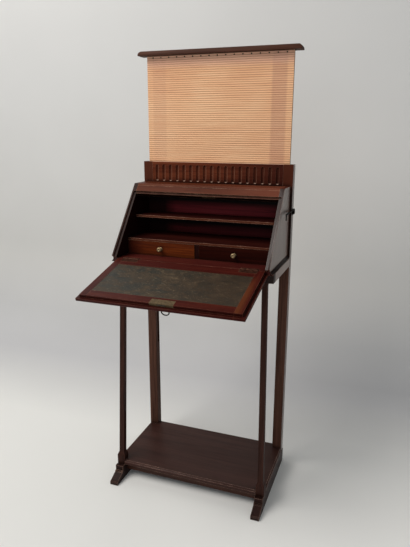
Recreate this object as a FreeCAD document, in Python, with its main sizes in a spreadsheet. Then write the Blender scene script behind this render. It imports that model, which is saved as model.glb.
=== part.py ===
"""A slope-front writing desk with a rising cloth screen, modelled piece by piece in millimetres.

Frame: X runs to the right of someone who sits at the desk, Y runs to the back, Z runs up.
The origin lies on the ground, under the middle of the desk as it stands with its fall open.
"""
import FreeCAD, Part
import Sketcher
import math
import os

SIZES = {
    # rear posts, and the grooves in which the screen slides
    "post_half_span": 240.0,
    "post_wide": 30.0,
    "post_deep": 27.0,
    "post_easing": 1.5,
    "groove_setback": 11.9,
    "groove_wide": 9.9,
    "groove_deep": 16.5,
    "groove_foot": 370.0,
    # frieze board between the post tops, with its row of flutes
    "frieze_show": 62.0,
    "frieze_tuck": 14.0,
    "frieze_thick": 10.0,
    "flute_wide": 10.0,
    "flute_sink": 3.0,
    "flute_pitch": 22.8,
    "flute_foot_margin": 3.5,
    "flute_head_margin": 8.5,
    # sled feet
    "sled_margin": 1.5,
    "sled_wide": 26.0,
    "sled_high": 44.4,
    "toe_reach": 51.3,
    "toe_high": 8.5,
    "toe_nose_deep": 2.5,
    "toe_nose_high": 11.8,
    "toe_flat_deep": 8.0,
    "toe_flat_high": 13.6,
    "ledge_reach": 18.5,
    "ledge_low": 25.0,
    "ledge_high": 29.0,
    "tier_reach": 13.0,
    # front legs, which rake forwards and outwards from the case to the feet
    "block_high": 29.0,
    "flare_high": 15.0,
    "leg_foot_wide": 17.2,
    "leg_head_wide": 15.4,
    "leg_collar_wide": 18.2,
    "leg_collar_high": 9.0,
    "leg_easing": 1.3,
    "leg_foot_reach": 16.6,
    "leg_head_inset": 8.5,
    "leg_head_margin": 24.5,
    "tenon_wide": 9.0,
    "tenon_long": 16.0,
    # lower shelf and the rails beneath it
    "shelf_thick": 14.0,
    "shelf_back": 20.0,
    "shelf_cove": 4.0,
    "shelf_rail_setback": 14.0,
    "shelf_rail_thick": 14.0,
    "shelf_rail_high": 24.0,
    # base frame under the case
    "base_low": 684.4,
    "base_high": 24.7,
    "base_deep": 209.4,
    "base_rail_wide": 22.0,
    # case
    "floor_thick": 12.0,
    "floor_cove": 10.5,
    "floor_cove_out": 4.7,
    "floor_overhang": 14.7,
    "pin_sink": 12.6,
    "slope_angle": 51.55,
    "side_margin": 6.3,
    "side_thick": 13.2,
    "rebate_wide": 8.0,
    "rebate_gap": 0.1,
    "fascia_face": 27.5,
    "fascia_thick": 18.0,
    "fascia_rebate": 5.5,
    "top_thick": 6.0,
    "back_thick": 8.0,
    "housing_deep": 3.0,
    "upper_shelf_rise": 109.5,
    "upper_shelf_setback": 99.6,
    "upper_shelf_thick": 6.5,
    "drawer_shelf_rise": 47.7,
    "drawer_shelf_setback": 155.0,
    "drawer_shelf_thick": 6.5,
    "divider_thick": 13.0,
    # drawers
    "drawer_gap": 0.5,
    "drawer_rest_gap": 0.3,
    "drawer_front_proud": 1.5,
    "drawer_front_thick": 12.0,
    "drawer_side_thick": 6.0,
    "drawer_side_drop": 5.0,
    "drawer_bottom_thick": 4.0,
    "drawer_bottom_rise": 2.0,
    "drawer_tail_gap": 4.0,
    "knob_wide": 14.5,
    "knob_long": 15.0,
    "knob_neck": 5.5,
    "knob_foot_wide": 11.0,
    "knob_foot_thick": 1.6,
    "knob_dimple": 3.2,
    # fall flap: a clamped board with a rebated lip on three edges
    "droop_angle": 14.1,
    "flap_long": 211.6,
    "flap_side_gap": 1.6,
    "flap_core": 8.0,
    "lip_wide": 8.4,
    "lip_thick": 8.7,
    "lip_gap": 1.5,
    "lip_easing": 2.2,
    "flap_heel_gap": 0.3,
    "border_side": 21.2,
    "border_rear": 35.0,
    "border_front": 26.4,
    "leather_thick": 1.0,
    "leather_sink": 0.25,
    # hinges of the fall
    "hinge_margin": 19.5,
    "hinge_long": 50.0,
    "leaf_wide": 17.0,
    "leaf_thick": 1.6,
    "knuckle_radius": 3.0,
    "knuckle_share": 0.34,
    "hinge_pin_radius": 1.3,
    "pin_fit": 0.05,
    "knuckle_gap": 0.25,
    "screw_head_radius": 2.4,
    "screw_head_high": 1.1,
    "screw_radius": 1.3,
    "screw_long": 8.0,
    "screw_fit": 0.05,
    # lock of the fall, its bolt and key
    "lock_offset": 12.0,
    "lock_half_long": 32.5,
    "lock_thick": 10.0,
    "selvedge_thick": 1.4,
    "selvedge_wide": 19.5,
    "bolt_half_long": 11.0,
    "bolt_thick": 3.0,
    "bolt_sink": 2.6,
    "bolt_deep": 16.0,
    "bolt_fit": 0.3,
    "strike_thick": 1.0,
    "strike_half_long": 20.0,
    "mortise_deep": 9.0,
    "key_offset": 3.5,
    "key_setback": 10.5,
    "key_radius": 2.0,
    "key_fit": 0.3,
    "key_shank": 6.0,
    "key_bow_half_wide": 10.3,
    "key_bow_half_high": 8.5,
    "key_bow_wire": 1.5,
    "key_bit_long": 4.5,
    "key_bit_thick": 1.4,
    "key_well_high": 3.6,
    "escutcheon_radius": 8.0,
    "escutcheon_thick": 0.8,
    # rising screen
    "screen_rise": 311.0,
    "screen_high": 600.0,
    "screen_fit": 0.5,
    "screen_frame_thick": 8.0,
    "stile_wide": 30.0,
    "screen_rail_high": 42.0,
    "cloth_thick": 0.6,
    "cloth_gap": 0.1,
    "rib_pitch": 6.0,
    "rib_proud": 0.45,
    "cap_overhang": 9.0,
    "cap_high": 14.0,
    "cap_half_deep": 20.5,
    "cap_round": 12.0,
    "tack_pitch": 25.7,
    "tack_radius": 2.0,
    "tack_proud": 0.7,
    "tack_drop": 5.0,
    # catch that holds the screen up
    "catch_drop": 138.0,
    "catch_rose_radius": 9.0,
    "catch_rose_thick": 1.6,
    "catch_spindle_radius": 2.6,
    "catch_fit": 0.06,
    "catch_hub_radius": 4.5,
    "catch_hub_thick": 4.6,
    "catch_hub_gap": 0.3,
    "catch_arm_long": 108.0,
    "catch_arm_high": 3.6,
    "catch_arm_rise": 4.0,
    "catch_arm_thick": 2.6,
    "catch_tail_long": 18.0,
    "catch_tail_wide": 3.6,
    "catch_ring_radius": 7.8,
    "catch_ring_wire": 1.4,
    "catch_ring_offset": 4.6,
    "catch_ring_rise": 1.0,
    # how far a cutting shape runs past the face that it opens
    "overrun": 2.0,
}
FLUTES = 18
SIDES = {"left": -1, "right": 1}
LEAF_SCREWS = 3
HAIR = 1e-4


class Size:
    """A size of the sheet, or one worked out from several: its number, and its formula for the sheet."""

    def __init__(self, text, number):
        self.text = text
        self.number = number

    def __add__(self, other):
        other = as_size(other)
        return Size(f"({self.text} + {other.text})", self.number + other.number)

    def __sub__(self, other):
        other = as_size(other)
        return Size(f"({self.text} - {other.text})", self.number - other.number)

    def __mul__(self, other):
        other = as_size(other)
        return Size(f"({self.text} * {other.text})", self.number * other.number)

    def __truediv__(self, other):
        other = as_size(other)
        return Size(f"({self.text} / {other.text})", self.number / other.number)

    def __neg__(self):
        return Size(f"(0 - {self.text})", -self.number)

    __radd__ = __add__
    __rmul__ = __mul__


def as_size(value):
    """A count, a share or a side of -1 or 1 joins in sums with sizes."""
    return value if isinstance(value, Size) else Size(repr(value), value)


def sine(angle):
    return Size(f"sin({angle.text})", math.sin(math.radians(angle.number)))


def cosine(angle):
    return Size(f"cos({angle.text})", math.cos(math.radians(angle.number)))


def tangent(angle):
    return Size(f"tan({angle.text})", math.tan(math.radians(angle.number)))


doc = FreeCAD.newDocument("writing_desk")
sheet = doc.addObject("Spreadsheet::Sheet", "Sizes")
for row, (alias, number) in enumerate(SIZES.items(), start=1):
    sheet.set(f"A{row}", alias)
    sheet.set(f"B{row}", str(number))
    sheet.setAlias(f"B{row}", alias)
doc.recompute()


def size(alias):
    return Size(f"Sizes.{alias}", float(sheet.get(alias)))


ZERO = as_size(0)
overrun = size("overrun")
nodes = {}


def keep(label, made):
    """Names a finished piece."""
    made.Label = label
    nodes[label] = made
    return made


def mirrored(side, low, high):
    """A span along X given for the right-hand side, or the same span on the left."""
    return (low, high) if side > 0 else (-high, -low)


def centred(half):
    return (-half, half)


def about(middle, half):
    return (middle - half, middle + half)


def box(x, y, z):
    """A block between three pairs of limits."""
    made = doc.addObject("Part::Box", "Block")
    for edge, (low, high) in zip(("Length", "Width", "Height"), (x, y, z)):
        made.setExpression(edge, (high - low).text)
    for axis, (low, high) in zip("xyz", (x, y, z)):
        made.setExpression("Placement.Base." + axis, low.text)
    return made


TURNS = {
    "x": FreeCAD.Rotation(FreeCAD.Vector(0, 1, 0), 90),
    "y": FreeCAD.Rotation(FreeCAD.Vector(1, 0, 0), -90),
    "z": FreeCAD.Rotation(),
}


def rod(axis, radius, start, length):
    """A cylinder that runs from the point start along +X, +Y or +Z."""
    made = doc.addObject("Part::Cylinder", "Rod")
    made.Placement = FreeCAD.Placement(FreeCAD.Vector(), TURNS[axis])
    made.setExpression("Radius", radius.text)
    made.setExpression("Height", length.text)
    for letter, value in zip("xyz", start):
        made.setExpression("Placement.Base." + letter, as_size(value).text)
    return made


def prism(role, outline, low, high):
    """An outline drawn on an origin plane and padded from low to high along that plane's normal."""
    body = doc.addObject("PartDesign::Body", "Prism")
    sketch = body.newObject("Sketcher::SketchObject", "Outline")
    plane = next(feature for feature in body.Origin.OriginFeatures if feature.Role == role)
    sketch.AttachmentSupport = [(plane, "")]
    sketch.MapMode = "FlatFace"
    sketch.setExpression("AttachmentOffset.Base.z", low.text)
    corners = [FreeCAD.Vector(u.number, v.number, 0) for u, v in outline]
    count = len(corners)
    for index, corner in enumerate(corners):
        sketch.addGeometry(Part.LineSegment(corner, corners[(index + 1) % count]), False)
    for index in range(count):
        sketch.addConstraint(Sketcher.Constraint("Coincident", index, 2, (index + 1) % count, 1))
    for index, (u, v) in enumerate(outline):
        for kind, value in (("DistanceX", u), ("DistanceY", v)):
            number = sketch.addConstraint(Sketcher.Constraint(kind, -1, 1, index, 1, value.number))
            sketch.setExpression(f"Constraints[{number}]", value.text)
    pad = body.newObject("PartDesign::Pad", "Pad")
    pad.Profile = sketch
    pad.setExpression("Length", (high - low).text)
    body.Tip = pad
    return body


def fuse(*parts):
    if len(parts) == 1:
        return parts[0]
    made = doc.addObject("Part::MultiFuse", "Joined")
    made.Shapes = list(parts)
    return made


def cut(base, *tools):
    made = doc.addObject("Part::Cut", "Worked")
    made.Base = base
    made.Tool = fuse(*tools)
    return made


def solid(shape):
    """A piece whose shape is worked out here from the numbers of the sheet."""
    made = doc.addObject("Part::Feature", "Formed")
    made.Shape = shape
    return made


def eased(base, radius, wanted):
    """Rounds the edges of a piece that a test picks by their ends."""
    doc.recompute()
    made = doc.addObject("Part::Fillet", "Eased")
    made.Base = base
    made.Edges = [
        (number, radius.number, radius.number)
        for number, edge in enumerate(base.Shape.Edges, start=1)
        if wanted(edge)
    ]
    return made


def runs_along(edge, axis):
    """Whether an edge is straight and parallel to X, Y or Z."""
    if not isinstance(edge.Curve, Part.Line):
        return False
    across = [getattr(edge.Curve.Direction, letter) for letter in "xyz" if letter != axis]
    return max(abs(part) for part in across) < HAIR


def near(value, size_wanted):
    return abs(value - size_wanted.number) < HAIR


# Levels and set-backs that several pieces share
post_half_span = size("post_half_span")
post_wide = size("post_wide")
post_deep = size("post_deep")
post_inner = post_half_span - post_wide
sled_half_span = post_half_span + size("sled_margin")
sled_wide = size("sled_wide")
sled_high = size("sled_high")
sled_inner = sled_half_span - sled_wide
shelf_top = sled_high + size("shelf_thick")
base_low = size("base_low")
base_top = base_low + size("base_high")
floor_top = base_top + size("floor_thick")
droop = size("droop_angle")
slope = size("slope_angle")
flap_long = size("flap_long")
flap_core = size("flap_core")
lip_wide = size("lip_wide")
lip_thick = size("lip_thick")
flap_thick = flap_core + lip_thick
flap_tip = flap_long + lip_wide
base_deep = size("base_deep")
pin_setback = base_deep + size("floor_overhang")
leg_foot_setback = base_deep + size("leg_foot_reach")
block_setback = leg_foot_setback + sled_wide / 2
front_reach = pin_setback + flap_tip * cosine(droop) - flap_core * sine(droop)
cap_middle = post_deep / 2
face = (front_reach - cap_middle - size("cap_half_deep")) / 2
pin_y = face - pin_setback
pin_z = floor_top
pin_sink = size("pin_sink")
slope_sine = sine(slope)
slope_cosine = cosine(slope)
rebate_sink = pin_sink - flap_core + size("rebate_gap")
riser_up = flap_tip + size("lip_gap")
opening_up = riser_up - size("fascia_rebate")
slope_long = riser_up + size("fascia_face")
side_half_span = post_half_span - size("side_margin")
side_inner = side_half_span - size("side_thick")
flap_half_span = side_inner - size("flap_side_gap")
hinge_centre = side_inner - size("hinge_margin") - size("hinge_long") / 2


def on_slope(up, sink):
    """A point (y, z) of the slope: how far up from the hinge, and how far in from the sides' front edges."""
    out = pin_sink - sink
    return (pin_y + up * slope_cosine - out * slope_sine, pin_z + up * slope_sine + out * slope_cosine)


case_top_y, case_top = on_slope(slope_long, ZERO)
post_top = case_top + size("frieze_show")


def sled(name, side):
    """A foot that lies on the ground: a low toe, a sloped step, and a level back that carries leg and post."""
    block_y = face - block_setback
    tier_y = block_y - size("tier_reach")
    ledge_y = block_y - size("ledge_reach")
    toe_y = block_y - size("toe_reach")
    outline = [
        (face + post_deep, ZERO),
        (face + post_deep, sled_high),
        (tier_y, sled_high),
        (tier_y, size("ledge_high")),
        (ledge_y, size("ledge_high")),
        (ledge_y, size("ledge_low")),
        (toe_y + size("toe_flat_deep"), size("toe_flat_high")),
        (toe_y + size("toe_nose_deep"), size("toe_nose_high")),
        (toe_y, size("toe_high")),
        (toe_y, ZERO),
    ]
    low, high = mirrored(side, sled_inner, sled_half_span)
    blank = prism("YZ_Plane", outline, low, high)
    leg_mortise = tenon(side, leg_foot(side), sled_high, -1)
    post_mortise = tenon(side, post_middle(side), sled_high, -1)
    return keep("sled_" + name, cut(blank, leg_mortise, post_mortise))


def leg_foot(side):
    return side * (sled_half_span - sled_wide / 2), face - leg_foot_setback


def leg_head(side):
    return side * (post_half_span - size("leg_head_margin")), face - base_deep + size("leg_head_inset")


def post_middle(side):
    return side * (post_half_span - post_wide / 2), face + post_deep / 2


def tenon(side, middle, level, direction):
    """A square tenon, or its mortise, that runs up or down from a level."""
    x, y = middle
    half = size("tenon_wide") / 2
    tip = level + direction * size("tenon_long")
    z = (level, tip) if direction > 0 else (tip, level)
    return box(about(x, half), about(y, half), z)


def rear_post(name, side):
    """A square post, grooved on its inner face for the screen."""
    x = mirrored(side, post_inner, post_half_span)
    blank = eased(
        box(x, (face, face + post_deep), (sled_high, post_top)),
        size("post_easing"),
        lambda edge: runs_along(edge, "z"),
    )
    groove_x = mirrored(side, post_inner - overrun, post_inner + size("groove_deep"))
    groove_y = face + size("groove_setback")
    groove = box(groove_x, (groove_y, groove_y + size("groove_wide")), (size("groove_foot"), post_top + overrun))
    cuts = [groove]
    if side > 0:
        cuts.append(catch_bore())
    post = fuse(cut(blank, *cuts), tenon(side, post_middle(side), sled_high, -1))
    return keep("rear_post_" + name, post)


def square_wire(x, y, z, half, easing):
    """A level square ring with its four corners taken off."""
    inner = half - easing
    ring = [(half, -inner), (half, inner), (inner, half), (-inner, half)]
    ring += [(-half, inner), (-half, -inner), (-inner, -half), (inner, -half)]
    points = [FreeCAD.Vector(x + dx, y + dy, z) for dx, dy in ring]
    return Part.makePolygon(points + points[:1])


BLOCK_EASING_SHARE = 0.06
# the swell of the leg's foot, from the block up to the shaft: shares of its height and of its narrowing
FLARE_SHARES = [(0.0, 0.0), (0.22, 0.22), (0.55, 0.68), (0.8, 0.92), (1.0, 1.0)]


def front_leg(name, side):
    """A slender square leg: a block, a swelling foot, a raking tapered shaft and a small collar."""
    foot_x, foot_y = (value.number for value in leg_foot(side))
    head_x, head_y = (value.number for value in leg_head(side))
    block_half = sled_wide.number / 2
    block_low = sled_high.number
    block_top = block_low + size("block_high").number
    flare_top = block_top + size("flare_high").number
    foot_half = size("leg_foot_wide").number / 2
    head_half = size("leg_head_wide").number / 2
    collar_half = size("leg_collar_wide").number / 2
    head_z = base_low.number
    collar_z = head_z - size("leg_collar_high").number
    easing = size("leg_easing").number
    block_easing = sled_wide.number * BLOCK_EASING_SHARE

    def ring(z, half, corner):
        share = max(z - block_top, 0) / (head_z - block_top)
        x = foot_x + (head_x - foot_x) * share
        y = foot_y + (head_y - foot_y) * share
        return square_wire(x, y, z, half, corner)

    block = Part.makeLoft([ring(block_low, block_half, block_easing), ring(block_top, block_half, block_easing)], True, True)
    flare_rings = [
        ring(
            block_top + (flare_top - block_top) * rise,
            block_half + (foot_half - block_half) * narrow,
            block_easing + (easing - block_easing) * narrow,
        )
        for rise, narrow in FLARE_SHARES
    ]
    flare = Part.makeLoft(flare_rings, True, True)
    shaft = Part.makeLoft([ring(flare_top, foot_half, easing), ring(collar_z, head_half, easing)], True, True)
    collar = Part.makeLoft([ring(collar_z, head_half, easing), ring(head_z, collar_half, easing)], True, True)
    body = solid(block.fuse([flare, shaft, collar]))
    tenons = [tenon(side, leg_foot(side), sled_high, -1), tenon(side, leg_head(side), base_low, 1)]
    return keep("front_leg_" + name, fuse(body, *tenons))


def lower_shelf():
    """The low shelf, notched round the leg blocks and the posts, with a cove on its front and ends."""
    block_inner_y = face - block_setback + sled_wide
    front_y = face - block_setback
    back_y = face + size("shelf_back")
    right = [
        (sled_inner, front_y),
        (sled_inner, block_inner_y),
        (sled_half_span, block_inner_y),
        (sled_half_span, face),
        (post_inner, face),
        (post_inner, back_y),
    ]
    left = [(-x, y) for x, y in reversed(right)]
    board = prism("XY_Plane", right + left, sled_high, shelf_top)
    cove = size("shelf_cove")
    coves = [rod("x", cove, (-sled_inner - overrun, front_y, shelf_top), sled_inner * 2 + overrun * 2)]
    for side in SIDES.values():
        coves.append(rod("y", cove, (side * sled_half_span, block_inner_y - overrun, shelf_top), face - block_inner_y + overrun * 2))
    return keep("lower_shelf", cut(board, *coves))


def shelf_rails():
    """Two rails between the sled feet, which stiffen the shelf from beneath."""
    thick = size("shelf_rail_thick")
    z = (sled_high - size("shelf_rail_high"), sled_high)
    front_y = face - block_setback + size("shelf_rail_setback")
    keep("shelf_front_rail", box(centred(sled_inner), (front_y, front_y + thick), z))
    keep("shelf_back_rail", box(centred(sled_inner), (face - thick, face), z))


def frieze():
    """The board between the post tops, with a row of upright round-ended flutes."""
    y = (face, face + size("frieze_thick"))
    board = box(centred(post_inner), y, (case_top - size("frieze_tuck"), post_top))
    half = size("flute_wide").number / 2
    sink = size("flute_sink").number
    radius = (half * half + sink * sink) / (2 * sink)
    axis_y = face.number - (radius - sink)
    low = (case_top + size("flute_foot_margin")).number + half
    high = (post_top - size("flute_head_margin")).number - half
    pitch = size("flute_pitch").number
    cutters = []
    for index in range(FLUTES):
        x = (index - (FLUTES - 1) / 2) * pitch
        shank = Part.makeCylinder(radius, high - low, FreeCAD.Vector(x, axis_y, low))
        ends = [Part.makeSphere(radius, FreeCAD.Vector(x, axis_y, z)) for z in (low, high)]
        cutters.append(shank.fuse(ends).removeSplitter())
    return keep("frieze_board", cut(board, solid(Part.makeCompound(cutters))))


def base_frame():
    """The flat frame that carries the case: front and back rails, and a rail at each end."""
    wide = size("base_rail_wide")
    z = (base_low, base_top)
    front_y = face - base_deep
    front = box(centred(post_half_span), (front_y, front_y + wide), z)
    mortises = [tenon(side, leg_head(side), base_low, 1) for side in SIDES.values()]
    keep("base_front_rail", cut(front, *mortises))
    keep("base_back_rail", box(centred(post_half_span - wide), (face - wide, face), z))
    for name, side in SIDES.items():
        x = mirrored(side, post_half_span - wide, post_half_span)
        keep("base_end_rail_" + name, box(x, (front_y + wide, face), z))


def leaf_mortise():
    """What the hinge leaves and knuckles take out of the board's front arris."""
    parts = []
    half = size("hinge_long") / 2 + size("knuckle_gap")
    channel = size("knuckle_radius") + size("knuckle_gap")
    for side in SIDES.values():
        x = about(side * hinge_centre, half)
        parts.append(box(x, (pin_y - overrun, pin_y + size("leaf_wide")), (floor_top - size("leaf_thick"), floor_top + overrun)))
        parts.append(rod("x", channel, (x[0], pin_y, pin_z), half * 2))
    return parts


def leaf_screw_places(side):
    """Where along X the screws of one hinge stand."""
    step = size("hinge_long") / LEAF_SCREWS
    return [side * hinge_centre + step * (index - (LEAF_SCREWS - 1) / 2) for index in range(LEAF_SCREWS)]


def upright_screw(x, y, top, fit):
    """A countersunk screw that stands head up, or the hole for it where the fit is more than nothing."""
    head = rod("z", size("screw_head_radius") + fit, (x, y, top - size("screw_head_high")), size("screw_head_high") + fit)
    shank_low = top - size("screw_head_high") - size("screw_long") - fit
    shank = rod("z", size("screw_radius") + fit, (x, y, shank_low), size("screw_long") + fit)
    return fuse(head, shank)


def case_floor():
    """The floor of the case: coved ends, and a front edge bevelled so that the fall can droop against it."""
    back_low = (face, base_top)
    bevel = size("floor_thick") * tangent(droop)
    outline = [back_low, (face, floor_top), (pin_y, pin_z), (pin_y + bevel, base_top)]
    board = prism("YZ_Plane", outline, -post_half_span, post_half_span)
    tools = leaf_mortise()
    for side in SIDES.values():
        start = (side * (post_half_span + size("floor_cove_out")), pin_y - overrun, floor_top)
        tools.append(rod("y", size("floor_cove"), start, pin_setback + overrun * 2))
        for x in leaf_screw_places(side):
            tools.append(upright_screw(x, pin_y + leaf_screw_reach(), floor_top, size("screw_fit")))
    return keep("case_floor", cut(board, *tools))


def leaf_screw_reach():
    return size("knuckle_radius") + (size("leaf_wide") - size("knuckle_radius")) / 2


def case_side(name, side):
    """A side of the case: its sloped front edge has a rebate for the lip of the fall."""
    outline = [(face, floor_top), (pin_y, pin_z), on_slope(ZERO, ZERO), (case_top_y, case_top), (face, case_top)]
    low, high = mirrored(side, side_inner, side_half_span)
    board = prism("YZ_Plane", outline, low, high)
    rebate_outline = [
        on_slope(-overrun, -overrun),
        on_slope(riser_up, -overrun),
        on_slope(riser_up, rebate_sink),
        on_slope(-overrun, rebate_sink),
    ]
    rebate_x = mirrored(side, side_inner - overrun, side_inner + size("rebate_wide"))
    rebate = prism("YZ_Plane", rebate_outline, *rebate_x)
    housing_x = mirrored(side, side_inner - overrun, side_inner + size("housing_deep"))
    housings = [
        box(housing_x, y, z)
        for y, z in (upper_shelf_span(), drawer_shelf_span())
    ]
    return keep("case_side_" + name, cut(board, rebate, *housings))


def upper_shelf_span():
    top = floor_top + size("upper_shelf_rise")
    y = (face - size("upper_shelf_setback"), face - size("back_thick"))
    return y, (top - size("upper_shelf_thick"), top)


def drawer_shelf_span():
    top = floor_top + size("drawer_shelf_rise")
    y = (face - size("drawer_shelf_setback"), face - size("back_thick"))
    return y, (top - size("drawer_shelf_thick"), top)


def case_inside():
    """The two shelves, let into the sides, and the upright between the drawers."""
    half = side_inner + size("housing_deep")
    keep("upper_shelf", box(centred(half), *upper_shelf_span()))
    y, z = drawer_shelf_span()
    keep("drawer_shelf", box(centred(half), y, z))
    keep("drawer_divider", box(centred(size("divider_thick") / 2), y, (floor_top, z[0])))


def bolt_sinks():
    """How deep in from the slope the thrown bolt lies, near and far face, once the fall is shut."""
    near_face = pin_sink - size("bolt_sink") - size("bolt_thick")
    return near_face, near_face + size("bolt_thick")


def bolt_mortise():
    """The hole above the fall that the bolt shoots into."""
    fit = size("bolt_fit")
    depth = size("mortise_deep")
    near_face, far_face = bolt_sinks()
    outline = [
        on_slope(opening_up - overrun, near_face - fit),
        on_slope(opening_up + depth, near_face - fit),
        on_slope(opening_up + depth, far_face + fit),
        on_slope(opening_up - overrun, far_face + fit),
    ]
    return prism("YZ_Plane", outline, *about(size("lock_offset"), size("bolt_half_long") + fit))


def top_front(level):
    """How far forward the top of the case reaches at a level, because its front edge follows the slope."""
    return case_top_y - (case_top - level) * slope_cosine / slope_sine


def case_shell():
    """Top, back and the rail above the fall, whose lower edge is rebated for the lip."""
    fascia_thick = size("fascia_thick")
    top_low = case_top - size("top_thick")
    back_y = face - size("back_thick")
    top_outline = [(case_top_y, case_top), (top_front(top_low), top_low), (back_y, top_low), (back_y, case_top)]
    keep("case_top", prism("YZ_Plane", top_outline, -side_inner, side_inner))
    outline = [
        on_slope(riser_up, ZERO),
        (top_front(top_low), top_low),
        (top_front(top_low) + fascia_thick / slope_sine, top_low),
        on_slope(opening_up, fascia_thick),
        on_slope(opening_up, rebate_sink),
        on_slope(riser_up, rebate_sink),
    ]
    rail = prism("YZ_Plane", outline, -side_inner, side_inner)
    keep("fascia_rail", cut(rail, bolt_mortise(), strike_blank()))
    keep("lock_strike_plate", cut(strike_blank(), bolt_mortise()))
    keep("case_back", box(centred(side_inner), (back_y, face), (floor_top, case_top)))


def strike_blank():
    """The brass plate let into the rail above the fall, before the hole for the bolt."""
    inner_sink = size("fascia_thick") - rebate_sink
    outline = [
        on_slope(opening_up, rebate_sink + size("strike_thick")),
        on_slope(opening_up + size("strike_thick"), rebate_sink + size("strike_thick")),
        on_slope(opening_up + size("strike_thick"), inner_sink),
        on_slope(opening_up, inner_sink),
    ]
    return prism("YZ_Plane", outline, *about(size("lock_offset"), size("strike_half_long")))


def drawer(name, side):
    """A small drawer: a front with a turned knob, two sides, a back and a bottom."""
    gap = size("drawer_gap")
    x_low = size("divider_thick") / 2 + gap
    x_high = side_inner - gap
    _, shelf_z = drawer_shelf_span()
    z_low = floor_top + size("drawer_rest_gap")
    z_high = shelf_z[0] - gap
    front_y = face - size("drawer_shelf_setback") - size("drawer_front_proud")
    inner_y = front_y + size("drawer_front_thick")
    tail_y = face - size("back_thick") - size("drawer_tail_gap")
    thick = size("drawer_side_thick")
    side_top = z_high - size("drawer_side_drop")
    front = eased(
        box(mirrored(side, x_low, x_high), (front_y, inner_y), (z_low, z_high)),
        gap,
        lambda edge: near(edge.CenterOfMass.y, front_y),
    )
    keep("drawer_front_" + name, front)
    cheeks = [
        box(mirrored(side, low, low + thick), (inner_y, tail_y), (z_low, side_top))
        for low in (x_low, x_high - thick)
    ]
    group("drawer_sides_" + name, cheeks)
    inside = mirrored(side, x_low + thick, x_high - thick)
    bottom_low = z_low + size("drawer_bottom_rise")
    bottom_z = (bottom_low, bottom_low + size("drawer_bottom_thick"))
    keep("drawer_bottom_" + name, box(inside, (inner_y, tail_y - thick), bottom_z))
    keep("drawer_back_" + name, box(inside, (tail_y - thick, tail_y), (z_low, side_top)))
    middle_x = side * (x_low + x_high) / 2
    keep("drawer_knob_" + name, knob(middle_x, front_y, (z_low + z_high) / 2))


def knob(x, front_y, z):
    """A turned knob: a thin foot, a waisted neck and a round head with a dimple in its end."""
    foot_radius = size("knob_foot_wide").number / 2
    foot_thick = size("knob_foot_thick").number
    neck_radius = size("knob_neck").number / 2
    head_radius = size("knob_wide").number / 2
    long = size("knob_long").number
    dimple = size("knob_dimple").number
    head_low = long - head_radius
    point = FreeCAD.Vector
    edges = [
        Part.LineSegment(point(0, 0, 0), point(foot_radius, 0, 0)),
        Part.LineSegment(point(foot_radius, 0, 0), point(foot_radius, 0, foot_thick)),
        Part.LineSegment(point(foot_radius, 0, foot_thick), point(neck_radius, 0, foot_thick * 2)),
        Part.LineSegment(point(neck_radius, 0, foot_thick * 2), point(neck_radius, 0, head_low)),
        Part.Arc(
            point(neck_radius, 0, head_low),
            point(head_radius, 0, (head_low + long) / 2),
            point(dimple, 0, long),
        ),
        Part.LineSegment(point(dimple, 0, long), point(0, 0, long - dimple / 2)),
        Part.LineSegment(point(0, 0, long - dimple / 2), point(0, 0, 0)),
    ]
    wire = Part.Wire([edge.toShape() for edge in edges])
    turned = Part.Face(wire).revolve(point(0, 0, 0), point(0, 0, 1), 360)
    made = solid(turned)
    made.Placement = FreeCAD.Placement(point(x.number, front_y.number, z.number), FreeCAD.Rotation(point(1, 0, 0), 90))
    return made


def on_flap(made):
    """Lays a piece drawn with the fall level and its hinge pin at the origin in the place it has when open."""
    if made.ExpressionEngine:
        drawn = made
        made = doc.addObject("Part::Compound", "Laid")
        made.Links = [drawn]
    made.Placement = FreeCAD.Placement(
        FreeCAD.Vector(0, pin_y.number, pin_z.number), FreeCAD.Rotation(FreeCAD.Vector(1, 0, 0), droop.number)
    )
    made.setExpression("Placement.Base.y", pin_y.text)
    made.setExpression("Placement.Base.z", pin_z.text)
    made.setExpression("Placement.Rotation.Angle", droop.text)
    return made


def flap_box(x, out, sink):
    """A block of the fall: how far out from the pin, and how far below the writing face."""
    return box(x, (-out[1], -out[0]), (-sink[1], -sink[0]))


def flap_leaf_mortise():
    """What the knuckles and the leaves on the fall take out of its rear rail and end clamps."""
    parts = []
    half = size("hinge_long") / 2 + size("knuckle_gap")
    channel = size("knuckle_radius") + size("knuckle_gap")
    for side in SIDES.values():
        x = about(side * hinge_centre, half)
        parts.append(flap_box(x, (-overrun, size("leaf_wide")), (-overrun, size("leaf_thick"))))
        parts.append(rod("x", channel, (x[0], ZERO, ZERO), half * 2))
        for place in leaf_screw_places(side):
            parts.append(upright_screw(place, -leaf_screw_reach(), ZERO, size("screw_fit")))
    return parts


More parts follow.
